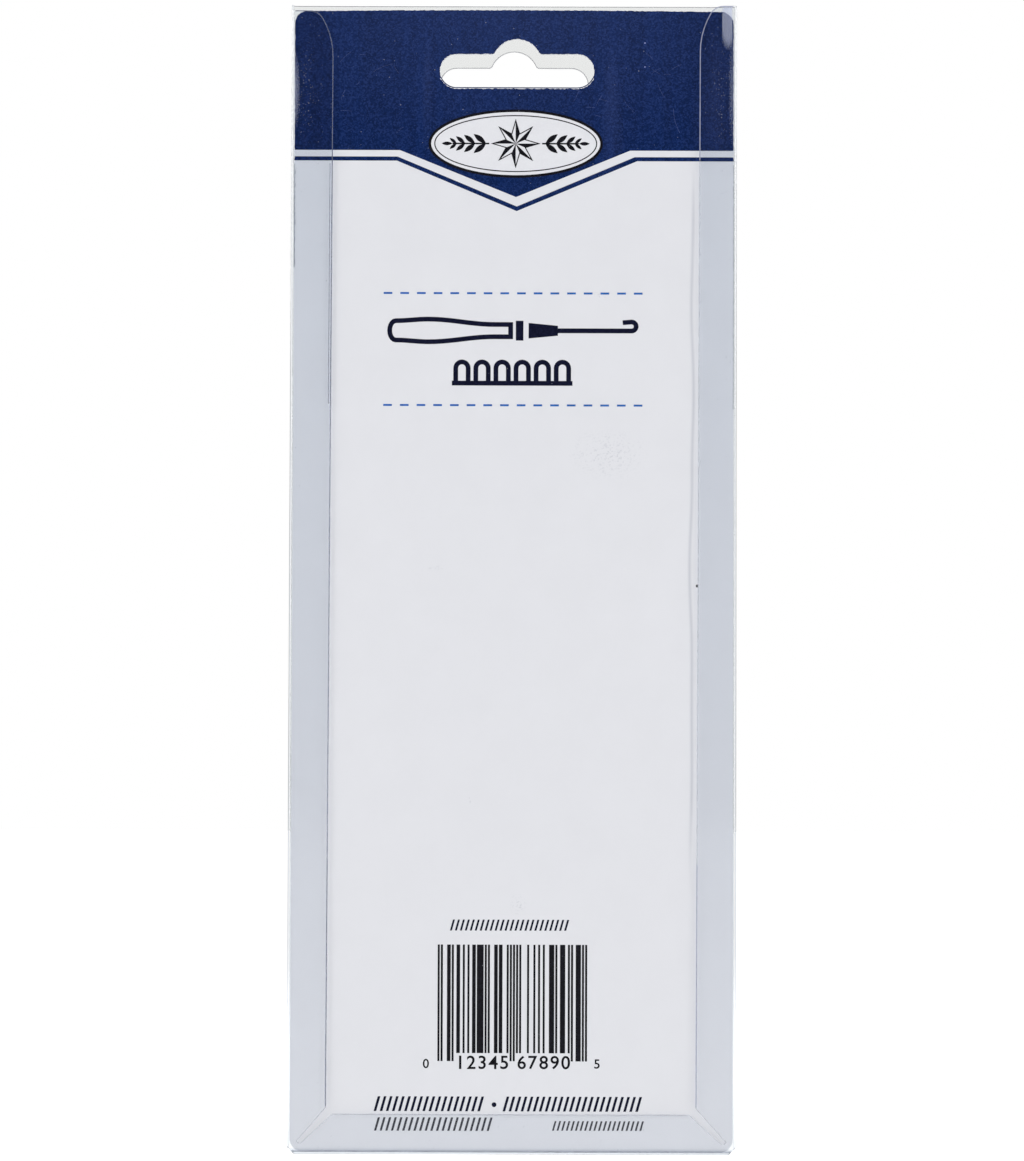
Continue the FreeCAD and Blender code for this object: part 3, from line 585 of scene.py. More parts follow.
def turned_beech():
    """Steamed beech, turned and waxed: pinkish tan with brown flecks along the grain."""
    finish, tree, place = start_finish("turned_beech")
    along = add(tree, "VectorMath", {
        0: place, 1: WOOD_RUN}, operation="MULTIPLY")
    rings = add(tree, "TexNoise", {
        "Vector": along, "Scale": 1 / (WOOD_BAND * MM), "Detail": 6.0, "Roughness": 0.6,
        "Distortion": 0.6})
    growth = add(tree, "MapRange", {
        "Value": rings.outputs[0], "From": BAND_LEVELS})
    wood = add(tree, "Mix", {
        "Factor": growth, "A": colour(WOOD_DARK), "B": colour(WOOD_PALE)}, data_type="RGBA")
    flecks = add(tree, "TexNoise", {
        "Vector": along, "Scale": 1 / (WOOD_FLECK * MM), "Detail": 2.0, "Roughness": 0.5})
    fleck = add(tree, "MapRange", {
        "Value": flecks.outputs[0], "From": FLECK_LEVELS,
        "To Max": FLECK_SHARE})
    tint = add(tree, "Mix", {
        "Factor": fleck, "A": wood, "B": colour(WOOD_FLECK_TONE)}, data_type="RGBA")
    pores = add(tree, "Bump", {
        "Strength": PORE_STRENGTH, "Distance": PORE_DEEP * MM, "Height": flecks.outputs[0]})
    waxed = add(tree, "MapRange", {
        "Value": flecks.outputs[0], "To": (WAX_SMOOTH, WAX_ROUGH)})
    beech = add(tree, "BsdfPrincipled", {
        "Base Color": tint, "Roughness": waxed, "IOR": WOOD_INDEX, "Normal": pores,
        "Coat Weight": WAX_COAT, "Coat Roughness": WAX_COAT_ROUGH})
    return end_finish(finish, beech)


def worked_metal(name, dull, bright, smooth, coarse, lines):
    """A bare metal whose working lines run round or along it, by the stretch in lines."""
    finish, tree, place = start_finish(name)
    stretched = add(tree, "VectorMath", {0: place, 1: lines}, operation="MULTIPLY")
    marks = add(tree, "TexNoise", {
        "Vector": stretched, "Scale": 1 / (METAL_LINE * MM), "Detail": 3.0, "Roughness": 0.6})
    cloud = add(tree, "TexNoise", {
        "Vector": place, "Scale": 1 / (METAL_CLOUD * MM), "Detail": 3.0})
    tint = add(tree, "Mix", {
        "Factor": cloud.outputs[0], "A": colour(dull), "B": colour(bright)},
        data_type="RGBA")
    rough = add(tree, "MapRange", {
        "Value": marks.outputs[0], "To": (smooth, coarse)})
    scored = add(tree, "Bump", {
        "Strength": SCORE_STRENGTH, "Distance": SCORE_DEEP * MM, "Height": marks.outputs[0]})
    metal = add(tree, "BsdfPrincipled", {
        "Base Color": tint, "Metallic": 1.0, "Roughness": rough, "Normal": scored})
    return end_finish(finish, metal)


def dress(node, finish):
    """Gives a CAD piece its finish."""
    mesh = node.data
    mesh.materials.clear()
    mesh.materials.append(finish)


# Print. Ink lies on the card in layers, each a little proud of the one below.

INK = 0.02 * MM


def put(name, sheet, finish, body):
    """Makes a piece of a finished sheet and seats it on its body."""
    mesh = bpy.data.meshes.new(name)
    sheet.to_mesh(mesh)
    sheet.free()
    mesh.materials.append(finish)
    piece = bpy.data.objects.new(name, mesh)
    bpy.context.scene.collection.objects.link(piece)
    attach(piece, body)
    return piece


def thicken(sheet, side, thick):
    """Turns a flat sheet into a thin closed solid, outwards on its side of the pack."""
    bmesh.ops.remove_doubles(sheet, verts=sheet.verts, dist=WELD)
    grown = bmesh.ops.extrude_face_region(sheet, geom=sheet.faces[:])["geom"]
    lifted = [part for part in grown if isinstance(part, bmesh.types.BMVert)]
    bmesh.ops.translate(sheet, verts=lifted, vec=(0, side * thick, 0))
    bmesh.ops.recalc_face_normals(sheet, faces=sheet.faces)
    return sheet


def face_level(side):
    """Where the card's back or front face lies."""
    return card_low.y if side == BACK else card_high.y


def print_shapes(name, shapes, ink, layer=1, side=BACK):
    """Prints flat shapes, each a loop of (x, z), on the card."""
    sheet = bmesh.new()
    for shape in shapes:
        sheet.faces.new([sheet.verts.new((x * MM, face_level(side), z * MM)) for x, z in shape])
    return put(name, thicken(sheet, side, layer * INK), ink, "card")


def box_shape(left, right, foot, top):
    """A rectangle as a loop."""
    return [(left, foot), (right, foot), (right, top), (left, top)]


def oval_shape(x, z, half_wide, half_high, steps=72):
    """An oval as a loop."""
    turns = [2 * math.pi * step / steps for step in range(steps)]
    return [(x + half_wide * math.cos(turn), z + half_high * math.sin(turn)) for turn in turns]


def line_shapes(points, wide, closed=False):
    """A drawn line of even width through points, as a strip of four-sided shapes."""
    places = [Vector(point) for point in points]
    count = len(places)
    sides = []
    for index, here in enumerate(places):
        runs = []
        if index or closed:
            runs.append((here - places[index - 1]).normalized())
        if index + 1 < count or closed:
            runs.append((places[(index + 1) % count] - here).normalized())
        across = [run.orthogonal() for run in runs]
        offset = sum(across, Vector((0, 0)))
        if len(across) == 2:
            offset /= 1 + across[0].dot(across[1])
        sides.append((here + offset * wide / 2, here - offset * wide / 2))
    last = count if closed else count - 1
    return [
        (*(sides[i]), *reversed(sides[(i + 1) % count]))
        for i in range(last)
    ]


# The header: a navy band with a shallow point, a white line left bare, and a thin navy line

# level of the edge, x of its two turns, x and z of its point
HEADER_EDGES = (
    (-21.04, -24.16, 24.60, 0.45, -30.97),
    (-22.42, -24.65, 25.60, 0.62, -32.98),
    (-23.28, -24.80, 26.10, 0.60, -33.95),
)


def slant_z(x, turn, level, tip_x, tip_z):
    """Height of the slanted edge between a turn and the point, at x."""
    return level + (tip_z - level) * (x - turn) / (tip_x - turn)


def above(edge, x, z):
    """Whether a place is above a header edge."""
    level, left, right, tip_x, tip_z = edge
    over_left = z > slant_z(x, left, level, tip_x, tip_z)
    over_right = z > slant_z(x, right, level, tip_x, tip_z)
    return z > level or (over_left and over_right)


def cut_straight(sheet, place, run):
    """Cuts the sheet's faces along a straight line through a place."""
    bmesh.ops.bisect_plane(
        sheet, geom=sheet.verts[:] + sheet.edges[:] + sheet.faces[:], dist=WELD,
        plane_co=place, plane_no=Vector((-run.z, 0, run.x)).normalized())


# a face belongs to a level when its normal is this square to it and it lies this near
SQUARE_ENOUGH, NEAR_ENOUGH = 0.99, 0.02 * MM


def flat_face(node, level, side):
    """A copy of a CAD piece's flat faces that lie at a level and look one way."""
    sheet = bmesh.new()
    sheet.from_mesh(node.data)
    sheet.normal_update()
    others = [
        face for face in sheet.faces
        if face.normal.y * side < SQUARE_ENOUGH
        or abs(face.calc_center_median().y - level) > NEAR_ENOUGH
    ]
    bmesh.ops.delete(sheet, geom=others, context="FACES")
    bmesh.ops.remove_doubles(sheet, verts=sheet.verts, dist=WELD)
    return sheet


def print_header(name, ink, side):
    """Prints the header on one face, out to the card's own edge and round its slot."""
    sheet = flat_face(card, face_level(side), side)
    for level, left, right, tip_x, tip_z in HEADER_EDGES:
        tip = Vector((tip_x, 0, tip_z)) * MM
        cut_straight(sheet, Vector((0, 0, level)) * MM, Vector((1, 0, 0)))
        for turn in (left, right):
            corner = Vector((turn, 0, level)) * MM
            cut_straight(sheet, corner, tip - corner)
    bare = []
    for face in sheet.faces:
        centre = face.calc_center_median() / MM
        band, gap, thin = (above(edge, centre.x, centre.z) for edge in HEADER_EDGES)
        if not (band or (thin and not gap)):
            bare.append(face)
    bmesh.ops.delete(sheet, geom=bare, context="FACES")
    return put(name, thicken(sheet, side, INK), ink, "card")


# The badge in the header: an oval label with a pieced star between two leafy sprigs

BADGE_X, BADGE_Z = 0.35, -19.6
BADGE_HALF_WIDE, BADGE_HALF_HIGH = 18.2, 7.0
# how far each oval ring lies in from the badge's edge, and its width
BADGE_RINGS = ((0.0, 0.55), (1.05, 0.22))
STAR_LONG, STAR_SHORT, STAR_LINE = 4.9, 2.2, 0.2
STAR_POINTS = 8
# each sprig's stem, and its pairs of leaves: where they leave it, and how long they are
STEM_STARTS, STEM_ENDS, STEM_WIDE = 5.6, 13.4, 0.32
LEAVES = ((6.3, 3.3), (8.6, 3.0), (10.7, 2.5), (12.5, 1.9))
LEAF_LEAN = math.radians(38)
LEAF_PLUMP = 0.34
END_LEAF = 2.3
LEAF_STEPS = 8
# the badge lies over the header's ink, its lines over its white, the star's edge on top
WHITE_LAYER, LINE_LAYER, TOP_LAYER = 2, 3, 4


def leaf_shape(x, z, long, turn):
    """A pointed leaf as a loop, from its foot at x and z, turned left from the x axis."""
    along = [long * step / LEAF_STEPS for step in range(LEAF_STEPS + 1)]
    bulge = [long * LEAF_PLUMP / 2 * math.sin(math.pi * at / long) for at in along]
    rim = list(zip(along, bulge)) + [(at, -out) for at, out in zip(along[-2:0:-1], bulge[-2:0:-1])]
    return [
        (x + at * math.cos(turn) - out * math.sin(turn),
         z + at * math.sin(turn) + out * math.cos(turn))
        for at, out in rim
    ]


def sprig_shapes(x, z):
    """A leafy sprig that grows to the right of x."""
    shapes = [box_shape(x + STEM_STARTS, x + STEM_ENDS, z - STEM_WIDE / 2, z + STEM_WIDE / 2)]
    for away, long in LEAVES:
        for lean in (LEAF_LEAN, -LEAF_LEAN):
            shapes.append(leaf_shape(x + away, z, long, lean))
    shapes.append(leaf_shape(x + STEM_ENDS, z, END_LEAF, 0.0))
    return shapes


def print_badge(white, dark, side):
    """Prints the badge on one face."""
    tag = "back" if side == BACK else "front"
    oval = oval_shape(BADGE_X, BADGE_Z, BADGE_HALF_WIDE, BADGE_HALF_HIGH)
    print_shapes(f"badge_white_{tag}", [oval], white, WHITE_LAYER, side)
    lines = []
    for inset, wide in BADGE_RINGS:
        ring = oval_shape(BADGE_X, BADGE_Z, BADGE_HALF_WIDE - inset, BADGE_HALF_HIGH - inset)
        lines += line_shapes(ring, wide, closed=True)
    sprig = sprig_shapes(BADGE_X, BADGE_Z)
    lines += sprig
    lines += [[(2 * BADGE_X - x, z) for x, z in shape] for shape in sprig]
    print_shapes(f"badge_lines_{tag}", lines, dark, LINE_LAYER, side)
    facets, outline = [], []
    for point in range(2 * STAR_POINTS):
        turn = math.pi * point / STAR_POINTS
        reach = STAR_SHORT if point % 2 else STAR_LONG
        outline.append((BADGE_X + reach * math.sin(turn), BADGE_Z + reach * math.cos(turn)))
    for point in range(0, 2 * STAR_POINTS, 2):
        facets.append([(BADGE_X, BADGE_Z), outline[point], outline[point + 1]])
    print_shapes(f"badge_star_{tag}", facets, dark, LINE_LAYER, side)
    edge = line_shapes(outline, STAR_LINE, closed=True)
    print_shapes(f"badge_star_edge_{tag}", edge, dark, TOP_LAYER, side)


# The two dashed rules and, between them, a drawing of the tool and a row of rug loops

DASH_ROWS = (-51.42, -75.17)
DASH_COUNT, DASH_PITCH, DASH_LONG, DASH_THICK = 16, 3.53, 1.84, 0.42
DASH_LEFT = -27.5
DRAWING_Z = -59.35
DRAWING_LINE = 1.0
# x and half height along the drawn handle
HANDLE_STATIONS = ((-24.9, 2.05), (-18.0, 2.4), (-4.0, 1.3), (-0.6, 1.3))
EASE_STEPS = 10
BUTT_X, BUTT_BULGE, BUTT_STEPS = -24.9, 1.3, 10
BEAD_X, BEAD_HALF = (0.5, 2.1), 2.1
FERRULE_X, FERRULE_HALF = (3.2, 9.4), (1.65, 1.05)
SHANK_X = (9.4, 25.0)
# the drawn hook's bow, how far its beak reaches back, and how far it drops
HOOK_BOW, HOOK_BACK, BEAK_DROP = 0.95, 1.9, 0.15
RUG_FOOT, RUG_TOP = -71.0, -65.5
RUG_LEFT, RUG_RIGHT, RUG_COUNT = -13.0, 12.5, 6
# width of a loop's line, and its radius as a share of the loops' pitch
RUG_LINE, LOOP_ROUND = 1.0, 0.31


def eased(stations, steps):
    """Places between stations, eased from each to the next."""
    places = []
    for (x, high), (next_x, next_high) in zip(stations, stations[1:]):
        for step in range(steps):
            share = step / steps
            ease = (1 - math.cos(math.pi * share)) / 2
            places.append((x + (next_x - x) * share, high + (next_high - high) * ease))
    return [*places, stations[-1]]


def print_dashes(ink):
    """Prints the two dashed rules."""
    shapes = [
        box_shape(left, left + DASH_LONG, z - DASH_THICK / 2, z + DASH_THICK / 2)
        for z in DASH_ROWS
        for left in (DASH_LEFT + DASH_PITCH * dash for dash in range(DASH_COUNT))
    ]
    print_shapes("dashed_rules", shapes, ink)


def half_turn(x, z, half_wide, half_high, start, steps):
    """Places along half an oval, from a start angle in degrees, turning left."""
    turns = [math.radians(start + 180 * step / steps) for step in range(steps + 1)]
    return [(x + half_wide * math.cos(turn), z + half_high * math.sin(turn)) for turn in turns]


def print_tool_drawing(ink):
    """Prints a line drawing of the tool, lying down."""
    side = eased(HANDLE_STATIONS, EASE_STEPS)
    butt = half_turn(BUTT_X, DRAWING_Z, BUTT_BULGE, side[0][1], 90, BUTT_STEPS)
    outline = butt[:-1] + [(x, DRAWING_Z - high) for x, high in side]
    outline += [(x, DRAWING_Z + high) for x, high in reversed(side[1:])]
    shapes = line_shapes(outline, DRAWING_LINE, closed=True)
    shapes.append(box_shape(*BEAD_X, DRAWING_Z - BEAD_HALF, DRAWING_Z + BEAD_HALF))
    foot, top = FERRULE_HALF
    shapes.append([
        (FERRULE_X[0], DRAWING_Z - foot), (FERRULE_X[1], DRAWING_Z - top),
        (FERRULE_X[1], DRAWING_Z + top), (FERRULE_X[0], DRAWING_Z + foot),
    ])
    bow = half_turn(SHANK_X[1], DRAWING_Z + HOOK_BOW, HOOK_BOW, HOOK_BOW, -90, BUTT_STEPS)
    beak = (SHANK_X[1] - HOOK_BACK, DRAWING_Z + 2 * HOOK_BOW - BEAK_DROP)
    shapes += line_shapes([(SHANK_X[0], DRAWING_Z), *bow, beak], DRAWING_LINE)
    print_shapes("tool_drawing", shapes, ink)


def print_rug_loops(ink):
    """Prints a row of pile loops that stand on their backing."""
    pitch = (RUG_RIGHT - RUG_LEFT) / RUG_COUNT
    radius = pitch * LOOP_ROUND
    shapes = [box_shape(RUG_LEFT, RUG_RIGHT, RUG_FOOT, RUG_FOOT + RUG_LINE)]
    for loop in range(RUG_COUNT):
        middle = RUG_LEFT + pitch * (loop + 0.5)
        crown = RUG_TOP - radius - RUG_LINE / 2
        bow = half_turn(middle, crown, radius, radius, 0, BUTT_STEPS)
        foot = RUG_FOOT + RUG_LINE
        legs = [(middle + radius, foot), *bow, (middle - radius, foot)]
        shapes += line_shapes(legs, RUG_LINE)
    print_shapes("rug_loops", shapes, ink)


# The bar code: the usual placeholder figures 0 12345 67890 5

CODE_FIGURES = "012345678905"
CODE_LEFT = -15.49
CODE_MODULE = 0.33
# how far the ink has spread on each side of a bar
BAR_GAIN = 0.05
CODE_TOP, CODE_FOOT, GUARD_FOOT = -188.95, -211.7, -213.4
FIGURE_TOP, FIGURE_FOOT = -212.25, -215.05
SMALL_TOP, SMALL_FOOT = -212.95, -214.9
SMALL_LEFT, SMALL_RIGHT = -17.95, 18.0
# middle of the first figure below each half, in modules from the left
FIGURE_STARTS = (14.4, 53.6)
FIGURE_MODULES = 7
FIGURE_SPREAD = 1.02
FIGURE_BOLDER = 0.012
# widths of the four bars and spaces of each figure, in modules
FIGURE_WIDTHS = {
    "0": (3, 2, 1, 1), "1": (2, 2, 2, 1), "2": (2, 1, 2, 2), "3": (1, 4, 1, 1),
    "4": (1, 1, 3, 2), "5": (1, 2, 3, 1), "6": (1, 1, 1, 4), "7": (1, 3, 1, 2),
    "8": (1, 2, 1, 3), "9": (3, 1, 1, 2),
}
HALF = len(CODE_FIGURES) // 2
# bars and spaces, each a module wide, that guard an end and the middle of the code
END_GUARD, MIDDLE_GUARD = 3, 5


def code_runs():
    """The widths of the whole code, space and bar in turn, and whether each stands tall."""
    runs = [(1, True)] * END_GUARD
    for place, figure in enumerate(CODE_FIGURES):
        if place == HALF:
            runs += [(1, True)] * MIDDLE_GUARD
        tall = place in (0, len(CODE_FIGURES) - 1)
        runs += [(width, tall) for width in FIGURE_WIDTHS[figure]]
    return runs + [(1, True)] * END_GUARD


def figure_shapes(figure, middle, foot, top):
    """One plain figure as flat shapes, fitted between foot and top."""
    letter = bpy.data.curves.new("figure", "FONT")
    letter.body = figure
    letter.offset = FIGURE_BOLDER
    holder = bpy.data.objects.new("figure", letter)
    outline = bpy.data.meshes.new_from_object(holder)
    ups = [vertex.co.y for vertex in outline.vertices]
    acrosses = [vertex.co.x for vertex in outline.vertices]
    scale = (top - foot) / (max(ups) - min(ups))
    centre = (max(acrosses) + min(acrosses)) / 2
    shapes = []
    for polygon in outline.polygons:
        corners = [outline.vertices[index].co for index in polygon.vertices]
        shapes.append([
            (middle + (corner.x - centre) * scale * FIGURE_SPREAD,
             foot + (corner.y - min(ups)) * scale)
            for corner in corners
        ])
    bpy.data.objects.remove(holder)
    bpy.data.meshes.remove(outline)
    bpy.data.curves.remove(letter)
    return shapes


def print_bar_code(ink):
    """Prints the bars, and the figures below them."""
    bars, across = [], 0
    for index, (width, tall) in enumerate(code_runs()):
        if index % 2 == 0:
            left = CODE_LEFT + across * CODE_MODULE
            foot = GUARD_FOOT if tall else CODE_FOOT
            right = left + width * CODE_MODULE
            bars.append(box_shape(left - BAR_GAIN, right + BAR_GAIN, foot, CODE_TOP))
        across += width
    print_shapes("bar_code", bars, ink)
    figures = figure_shapes(CODE_FIGURES[0], SMALL_LEFT, SMALL_FOOT, SMALL_TOP)
    figures += figure_shapes(CODE_FIGURES[-1], SMALL_RIGHT, SMALL_FOOT, SMALL_TOP)
    for start, group in zip(FIGURE_STARTS, (CODE_FIGURES[1:HALF], CODE_FIGURES[HALF:-1])):
        for place, figure in enumerate(group):
            middle = CODE_LEFT + (start + FIGURE_MODULES * place) * CODE_MODULE
            figures += figure_shapes(figure, middle, FIGURE_FOOT, FIGURE_TOP)
    print_shapes("bar_code_figures", figures, ink)


# Hairline scratches in the header's ink, in bows as a thumb leaves them

# the places that carry them: x, z, half width, half height, and how many
SCRATCHED = ((14.5, -11.0, 5.5, 3.2, 7), (-30.0, -8.0, 7.0, 9.0, 8), (31.0, -6.0, 7.0, 9.0, 8))
SCRATCH_RADIUS = (3.0, 11.0)
SCRATCH_SWEEP = (8, 30)
SCRATCH_WIDE = (0.03, 0.05)
SCRATCH_STEPS = 10


def draw_scratches(ink):
    """Draws the hairline scratches on the header's back."""
    thumb = random.Random("scratches")
    shapes = []
    for x, z, half_wide, half_high, count in SCRATCHED:
        for _ in range(count):
            radius = thumb.uniform(*SCRATCH_RADIUS)
            start, sweep = thumb.uniform(0, 360), thumb.uniform(*SCRATCH_SWEEP)
            middle = math.radians(start + sweep / 2)
            centre_x = x + thumb.uniform(-1, 1) * half_wide - radius * math.cos(middle)
            centre_z = z + thumb.uniform(-1, 1) * half_high - radius * math.sin(middle)
            bow = [
                (centre_x + radius * math.cos(turn), centre_z + radius * math.sin(turn))
                for turn in (
                    math.radians(start + sweep * step / SCRATCH_STEPS)
                    for step in range(SCRATCH_STEPS + 1))
            ]
            shapes += line_shapes(bow, thumb.uniform(*SCRATCH_WIDE))
    print_shapes("header_scratches", shapes, ink, WHITE_LAYER)


# Small rows of slanted stitches where a pack has its small print

# left, right, foot, top, pitch of the stitches, width of each
STITCH_ROWS = (
    (-13.0, 12.1, -186.0, -183.7, 1.05, 0.42),
    (-28.9, -5.7, -223.9, -220.8, 1.25, 0.54),
    (-1.8, 27.5, -223.9, -220.8, 1.25, 0.54),
    (-28.8, -3.9, -228.0, -225.2, 1.2, 0.46),
    (8.6, 27.9, -227.9, -225.9, 0.95, 0.38),
)
STITCH_SLANT = 0.28
DOT_X, DOT_Z, DOT_RADIUS, DOT_STEPS = -3.6, -222.5, 0.5, 24


def print_stitch_rows(ink):
    """Prints rows of slanted satin stitches, and the dot between two of them."""
    shapes = [oval_shape(DOT_X, DOT_Z, DOT_RADIUS, DOT_RADIUS, DOT_STEPS)]
    for left, right, foot, top, pitch, wide in STITCH_ROWS:
        lean = (top - foot) * STITCH_SLANT
        count = round((right - left - lean - wide) / pitch)
        step = (right - left - lean - wide) / count
        for start in (left + step * stitch for stitch in range(count + 1)):
            shapes.append([
                (start, foot), (start + wide, foot),
                (start + wide + lean, top), (start + lean, top),
            ])
    print_shapes("stitch_rows", shapes, ink)


# The film's cut edges show as thin lines, with a painted shade line beside the left one, and
# the card's torn edges as rough ones

RAGGED_STEP = 0.4
# widths of the lines along the folded edges and the mitres, and how far in the second lies,
# a painted shade line beside the left folded edge
FLANGE_LINE, FAINT_LINE, SHADE_LINE_IN, SHADE_LINE_WIDE = 0.22, 0.16, 0.5, 0.14
SHADE_LINE_TOP, SHADE_LINE_FOOT = -24, -75
# the folded edges' outer bound, the inner cut of the left one and of the right one
FLANGE_SPAN, LEFT_CUT, RIGHT_CUT = 46.2, 37.6, 36.6
# where the side edges' inner cut turns into the mitre, and where the mitre ends
MITRE_TOP, MITRE_FOOT = -222.9, -230.6
# below this the right edge's cut shows again as a line
LOW_LINE_TOP = -172.0
# the sleeve's slot lies within this reach above this foot, and its open top above the last
SLOT_REACH, SLOT_FOOT, SLEEVE_TOP, SLOT_LINE = 30, -30, 9.7, 0.16
EDGE_CLEAR, SLOT_CLEAR = (0.97, 0.97, 0.98, 1), (0.86, 0.86, 0.87, 1)
FAINT_CLEAR = (0.98, 0.98, 0.99, 1)
# the card's slot, and the part of its lower side that has torn
CARD_SLOT_REACH, TEAR_TOP, TEAR_FOOT = 20, -5.5, -9
SLOT_FIBRES_IN, SLOT_FIBRES, SLOT_RAGGED = 0.22, 0.2, 1.0
RIM_FIBRES, RIM_RAGGED = 0.14, 0.95
HEADER_FOOT = -23
# the card's crushed sides: from which x, widths left and right, and where they stop
CARD_SIDE, CRUSH_LEFT, CRUSH_RIGHT, CRUSH_RAGGED = 45.2, 0.3, 0.16, 0.6
CRUSH_TOP, CRUSH_LEFT_FOOT, CRUSH_RIGHT_FOOT = -24, -46, -76
LINE_LEVELS = (HEADER_FOOT, SHADE_LINE_TOP, SHADE_LINE_FOOT, LOW_LINE_TOP, MITRE_TOP, MITRE_FOOT)


def edge_line(name, sheet, wanted, inset, wide, ragged, finish, body, layer=1):
    """A thin line along those free edges of a flat sheet that wanted picks, set in from
    them, with its inner side ragged by a share of its width."""
    rough = random.Random(name)
    long_edges = [edge for edge in sheet.edges if edge.calc_length() > RAGGED_STEP * MM]
    for edge in long_edges if ragged else ():
        cuts = int(edge.calc_length() / (RAGGED_STEP * MM))
        if edge.is_boundary and cuts:
            bmesh.ops.subdivide_edges(sheet, edges=[edge], cuts=cuts)
    inward = {}
    rims = []
    for edge in sheet.edges:
        middle = (edge.verts[0].co + edge.verts[1].co) / 2
        if not edge.is_boundary or not wanted(middle / MM):
            continue
        run = (edge.verts[1].co - edge.verts[0].co).normalized()
        across = run.cross(Vector((0, 1, 0)))
        if across.dot(edge.link_faces[0].calc_center_median() - middle) < 0:
            across.negate()
        rims.append(edge)
        for vertex in edge.verts:
            inward.setdefault(vertex, []).append(across)
    line = bmesh.new()
    corners = {}
    for vertex, ways in inward.items():
        offset = sum(ways, Vector())
        if len(ways) == 2:
            offset /= 1 + ways[0].dot(ways[1])
        reach = inset + wide * (1 - ragged * rough.random())
        corners[vertex] = (
            line.verts.new(vertex.co + offset * inset * MM),
            line.verts.new(vertex.co + offset * reach * MM),
        )
    for edge in rims:
        (outer_a, inner_a), (outer_b, inner_b) = (corners[vertex] for vertex in edge.verts)
        line.faces.new((outer_a, outer_b, inner_b, inner_a))
    sheet.free()
    return put(name, thicken(line, BACK, layer * INK), finish, body)


def folded_edges():
    """The back faces of the sleeve's folded edges, cut across where their lines change."""
    sheet = flat_face(film, 0.0, BACK)
    for level in LINE_LEVELS:
        cut_straight(sheet, Vector((0, 0, level)) * MM, Vector((1, 0, 0)))
    return sheet


def draw_film_edges():
    """The lines along the folded edges, the sleeve's slot and its open top."""
    dull = knife_cut_film("knife_cut_left_and_shade", "747b92", EDGE_CLEAR, least=0.4, most=0.75)
    pale = knife_cut_film("knife_cut_right", "abafc6", EDGE_CLEAR, least=0.4, most=0.8)
    faint = knife_cut_film("knife_cut_foot", "b4b8c4", FAINT_CLEAR, least=0.12, most=0.4)
    grey = knife_cut_film("knife_cut_slot", "a3a3a8", SLOT_CLEAR, least=0.22, most=0.45)
    picks = (
        ("left_fold_line", dull, 0.0, FLANGE_LINE,
         lambda at: -FLANGE_SPAN < at.x < -LEFT_CUT and at.z > MITRE_TOP),
        # a painted shade line set in from the left folded edge
        ("left_fold_second_line", dull, SHADE_LINE_IN, SHADE_LINE_WIDE,
         lambda at: -FLANGE_SPAN < at.x < 0 and SHADE_LINE_FOOT < at.z < SHADE_LINE_TOP),
        ("right_fold_line", pale, 0.0, FLANGE_LINE,
         lambda at: RIGHT_CUT < at.x < FLANGE_SPAN and (
             at.z > HEADER_FOOT or MITRE_TOP < at.z < LOW_LINE_TOP)),
        ("right_fold_faint_line", faint, 0.0, FLANGE_LINE,
         lambda at: RIGHT_CUT < at.x < FLANGE_SPAN and LOW_LINE_TOP < at.z < HEADER_FOOT),
        ("foot_fold_line", faint, 0.0, FLANGE_LINE,
         lambda at: abs(at.x) < LEFT_CUT and at.z < MITRE_TOP),
        ("mitre_lines", faint, 0.0, FAINT_LINE,
         lambda at: LEFT_CUT < abs(at.x) < FLANGE_SPAN and MITRE_FOOT < at.z < MITRE_TOP),
    )
    for name, finish, inset, wide, wanted in picks:
        edge_line(
            name, folded_edges(), wanted, inset, wide, 0.0, finish, "blister")
    edge_line(
        "sleeve_slot_line", flat_face(film, PANEL_BACK, BACK),
        lambda at: SLOT_FOOT < at.z and (abs(at.x) < SLOT_REACH or at.z > SLEEVE_TOP),
        0.0, SLOT_LINE, 0.0, grey, "blister")


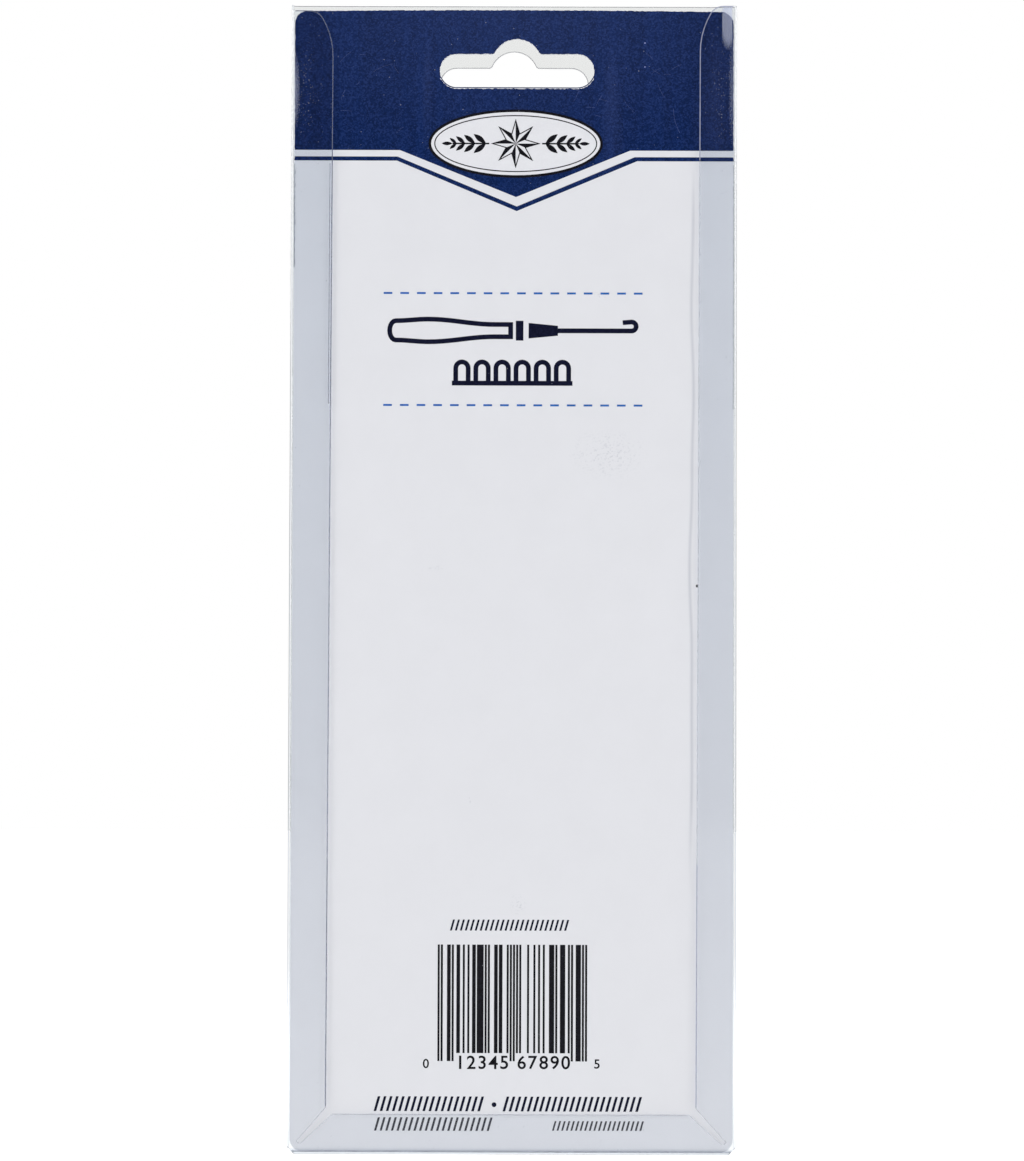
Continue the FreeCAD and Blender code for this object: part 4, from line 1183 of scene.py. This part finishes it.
def draw_card_rims(white, crushed):
    """The board's white core where the die has torn it: rough fibres beside the slot's
    lower side and a thin rim round the header. Lower down, the sides are crushed grey."""
    picks = (
        ("card_slot_fibres", white, SLOT_FIBRES_IN, SLOT_FIBRES, SLOT_RAGGED, WHITE_LAYER,
         lambda at: abs(at.x) < CARD_SLOT_REACH and TEAR_FOOT < at.z < TEAR_TOP),
        ("card_rim_fibres", white, 0.0, RIM_FIBRES, RIM_RAGGED, WHITE_LAYER,
         lambda at: at.z > HEADER_FOOT and not (
             abs(at.x) < CARD_SLOT_REACH and at.z < TEAR_TOP)),
        ("card_left_side_crushed", crushed, 0.0, CRUSH_LEFT, CRUSH_RAGGED, 1,
         lambda at: at.x < -CARD_SIDE and CRUSH_LEFT_FOOT < at.z < CRUSH_TOP),
        ("card_right_side_crushed", crushed, 0.0, CRUSH_RIGHT, CRUSH_RAGGED, 1,
         lambda at: at.x > CARD_SIDE and CRUSH_RIGHT_FOOT < at.z < CRUSH_TOP),
    )
    for name, finish, inset, wide, ragged, layer, wanted in picks:
        edge_line(
            name, flat_face(card, face_level(BACK), BACK), wanted, inset, wide, ragged,
            finish, "card", layer)


bpy.context.scene.view_settings.view_transform = "Standard"
stand_camera()
light_studio()
lay_floor()

board = clay_coated_board()
navy = offset_ink(
    "navy_offset_ink", "072254", unevenness=0.4, thinness=0.02, wear_and_sheen=header_wear_and_sheen)
scratched_navy = offset_ink("scratched_ink", "4a5583", fleck_share=0.0, unevenness=0.3)
bare_white = offset_ink(
    "bare_white_board", "e6e7ec", fleck_share=0.0, unevenness=0.015, thinness=0.0)
crushed_grey = offset_ink(
    "crushed_board_edge", "9a9ea8", fleck_share=0.2, unevenness=0.15, thinness=0.0)
dash_blue = offset_ink("blue_offset_ink", "2a63b2")
title_ink = offset_ink("dark_offset_ink", "0c0f28")
code_ink = offset_ink("black_offset_ink", "121116")

dress(film, clear_pet_film())
dress(card, board)
dress(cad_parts["handle"], turned_beech())
# Drawn brass is warm and mirrors the room, a little blurred by the fine rings of its polish.
dress(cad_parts["ferrule"], worked_metal(
    "drawn_brass", dull="b98f45", bright="d9b466", smooth=0.16, coarse=0.32,
    lines=(0.1, 0.1, 1.0)))
# Ground steel under thin nickel is pale and bright, its glints drawn out along the shank.
dress(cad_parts["hook_shank"], worked_metal(
    "nickel_plated_steel", dull="b4b3b0", bright="d2d0cb", smooth=0.12, coarse=0.26,
    lines=(1.0, 1.0, 0.04)))

print_header("header_back", navy, BACK)
print_header("header_front", navy, FRONT)
for side in (BACK, FRONT):
    print_badge(bare_white, code_ink, side)
draw_scratches(scratched_navy)
print_dashes(dash_blue)
print_tool_drawing(title_ink)
print_rug_loops(title_ink)
print_bar_code(code_ink)
print_stitch_rows(title_ink)
draw_film_edges()
draw_card_rims(bare_white, crushed_grey)
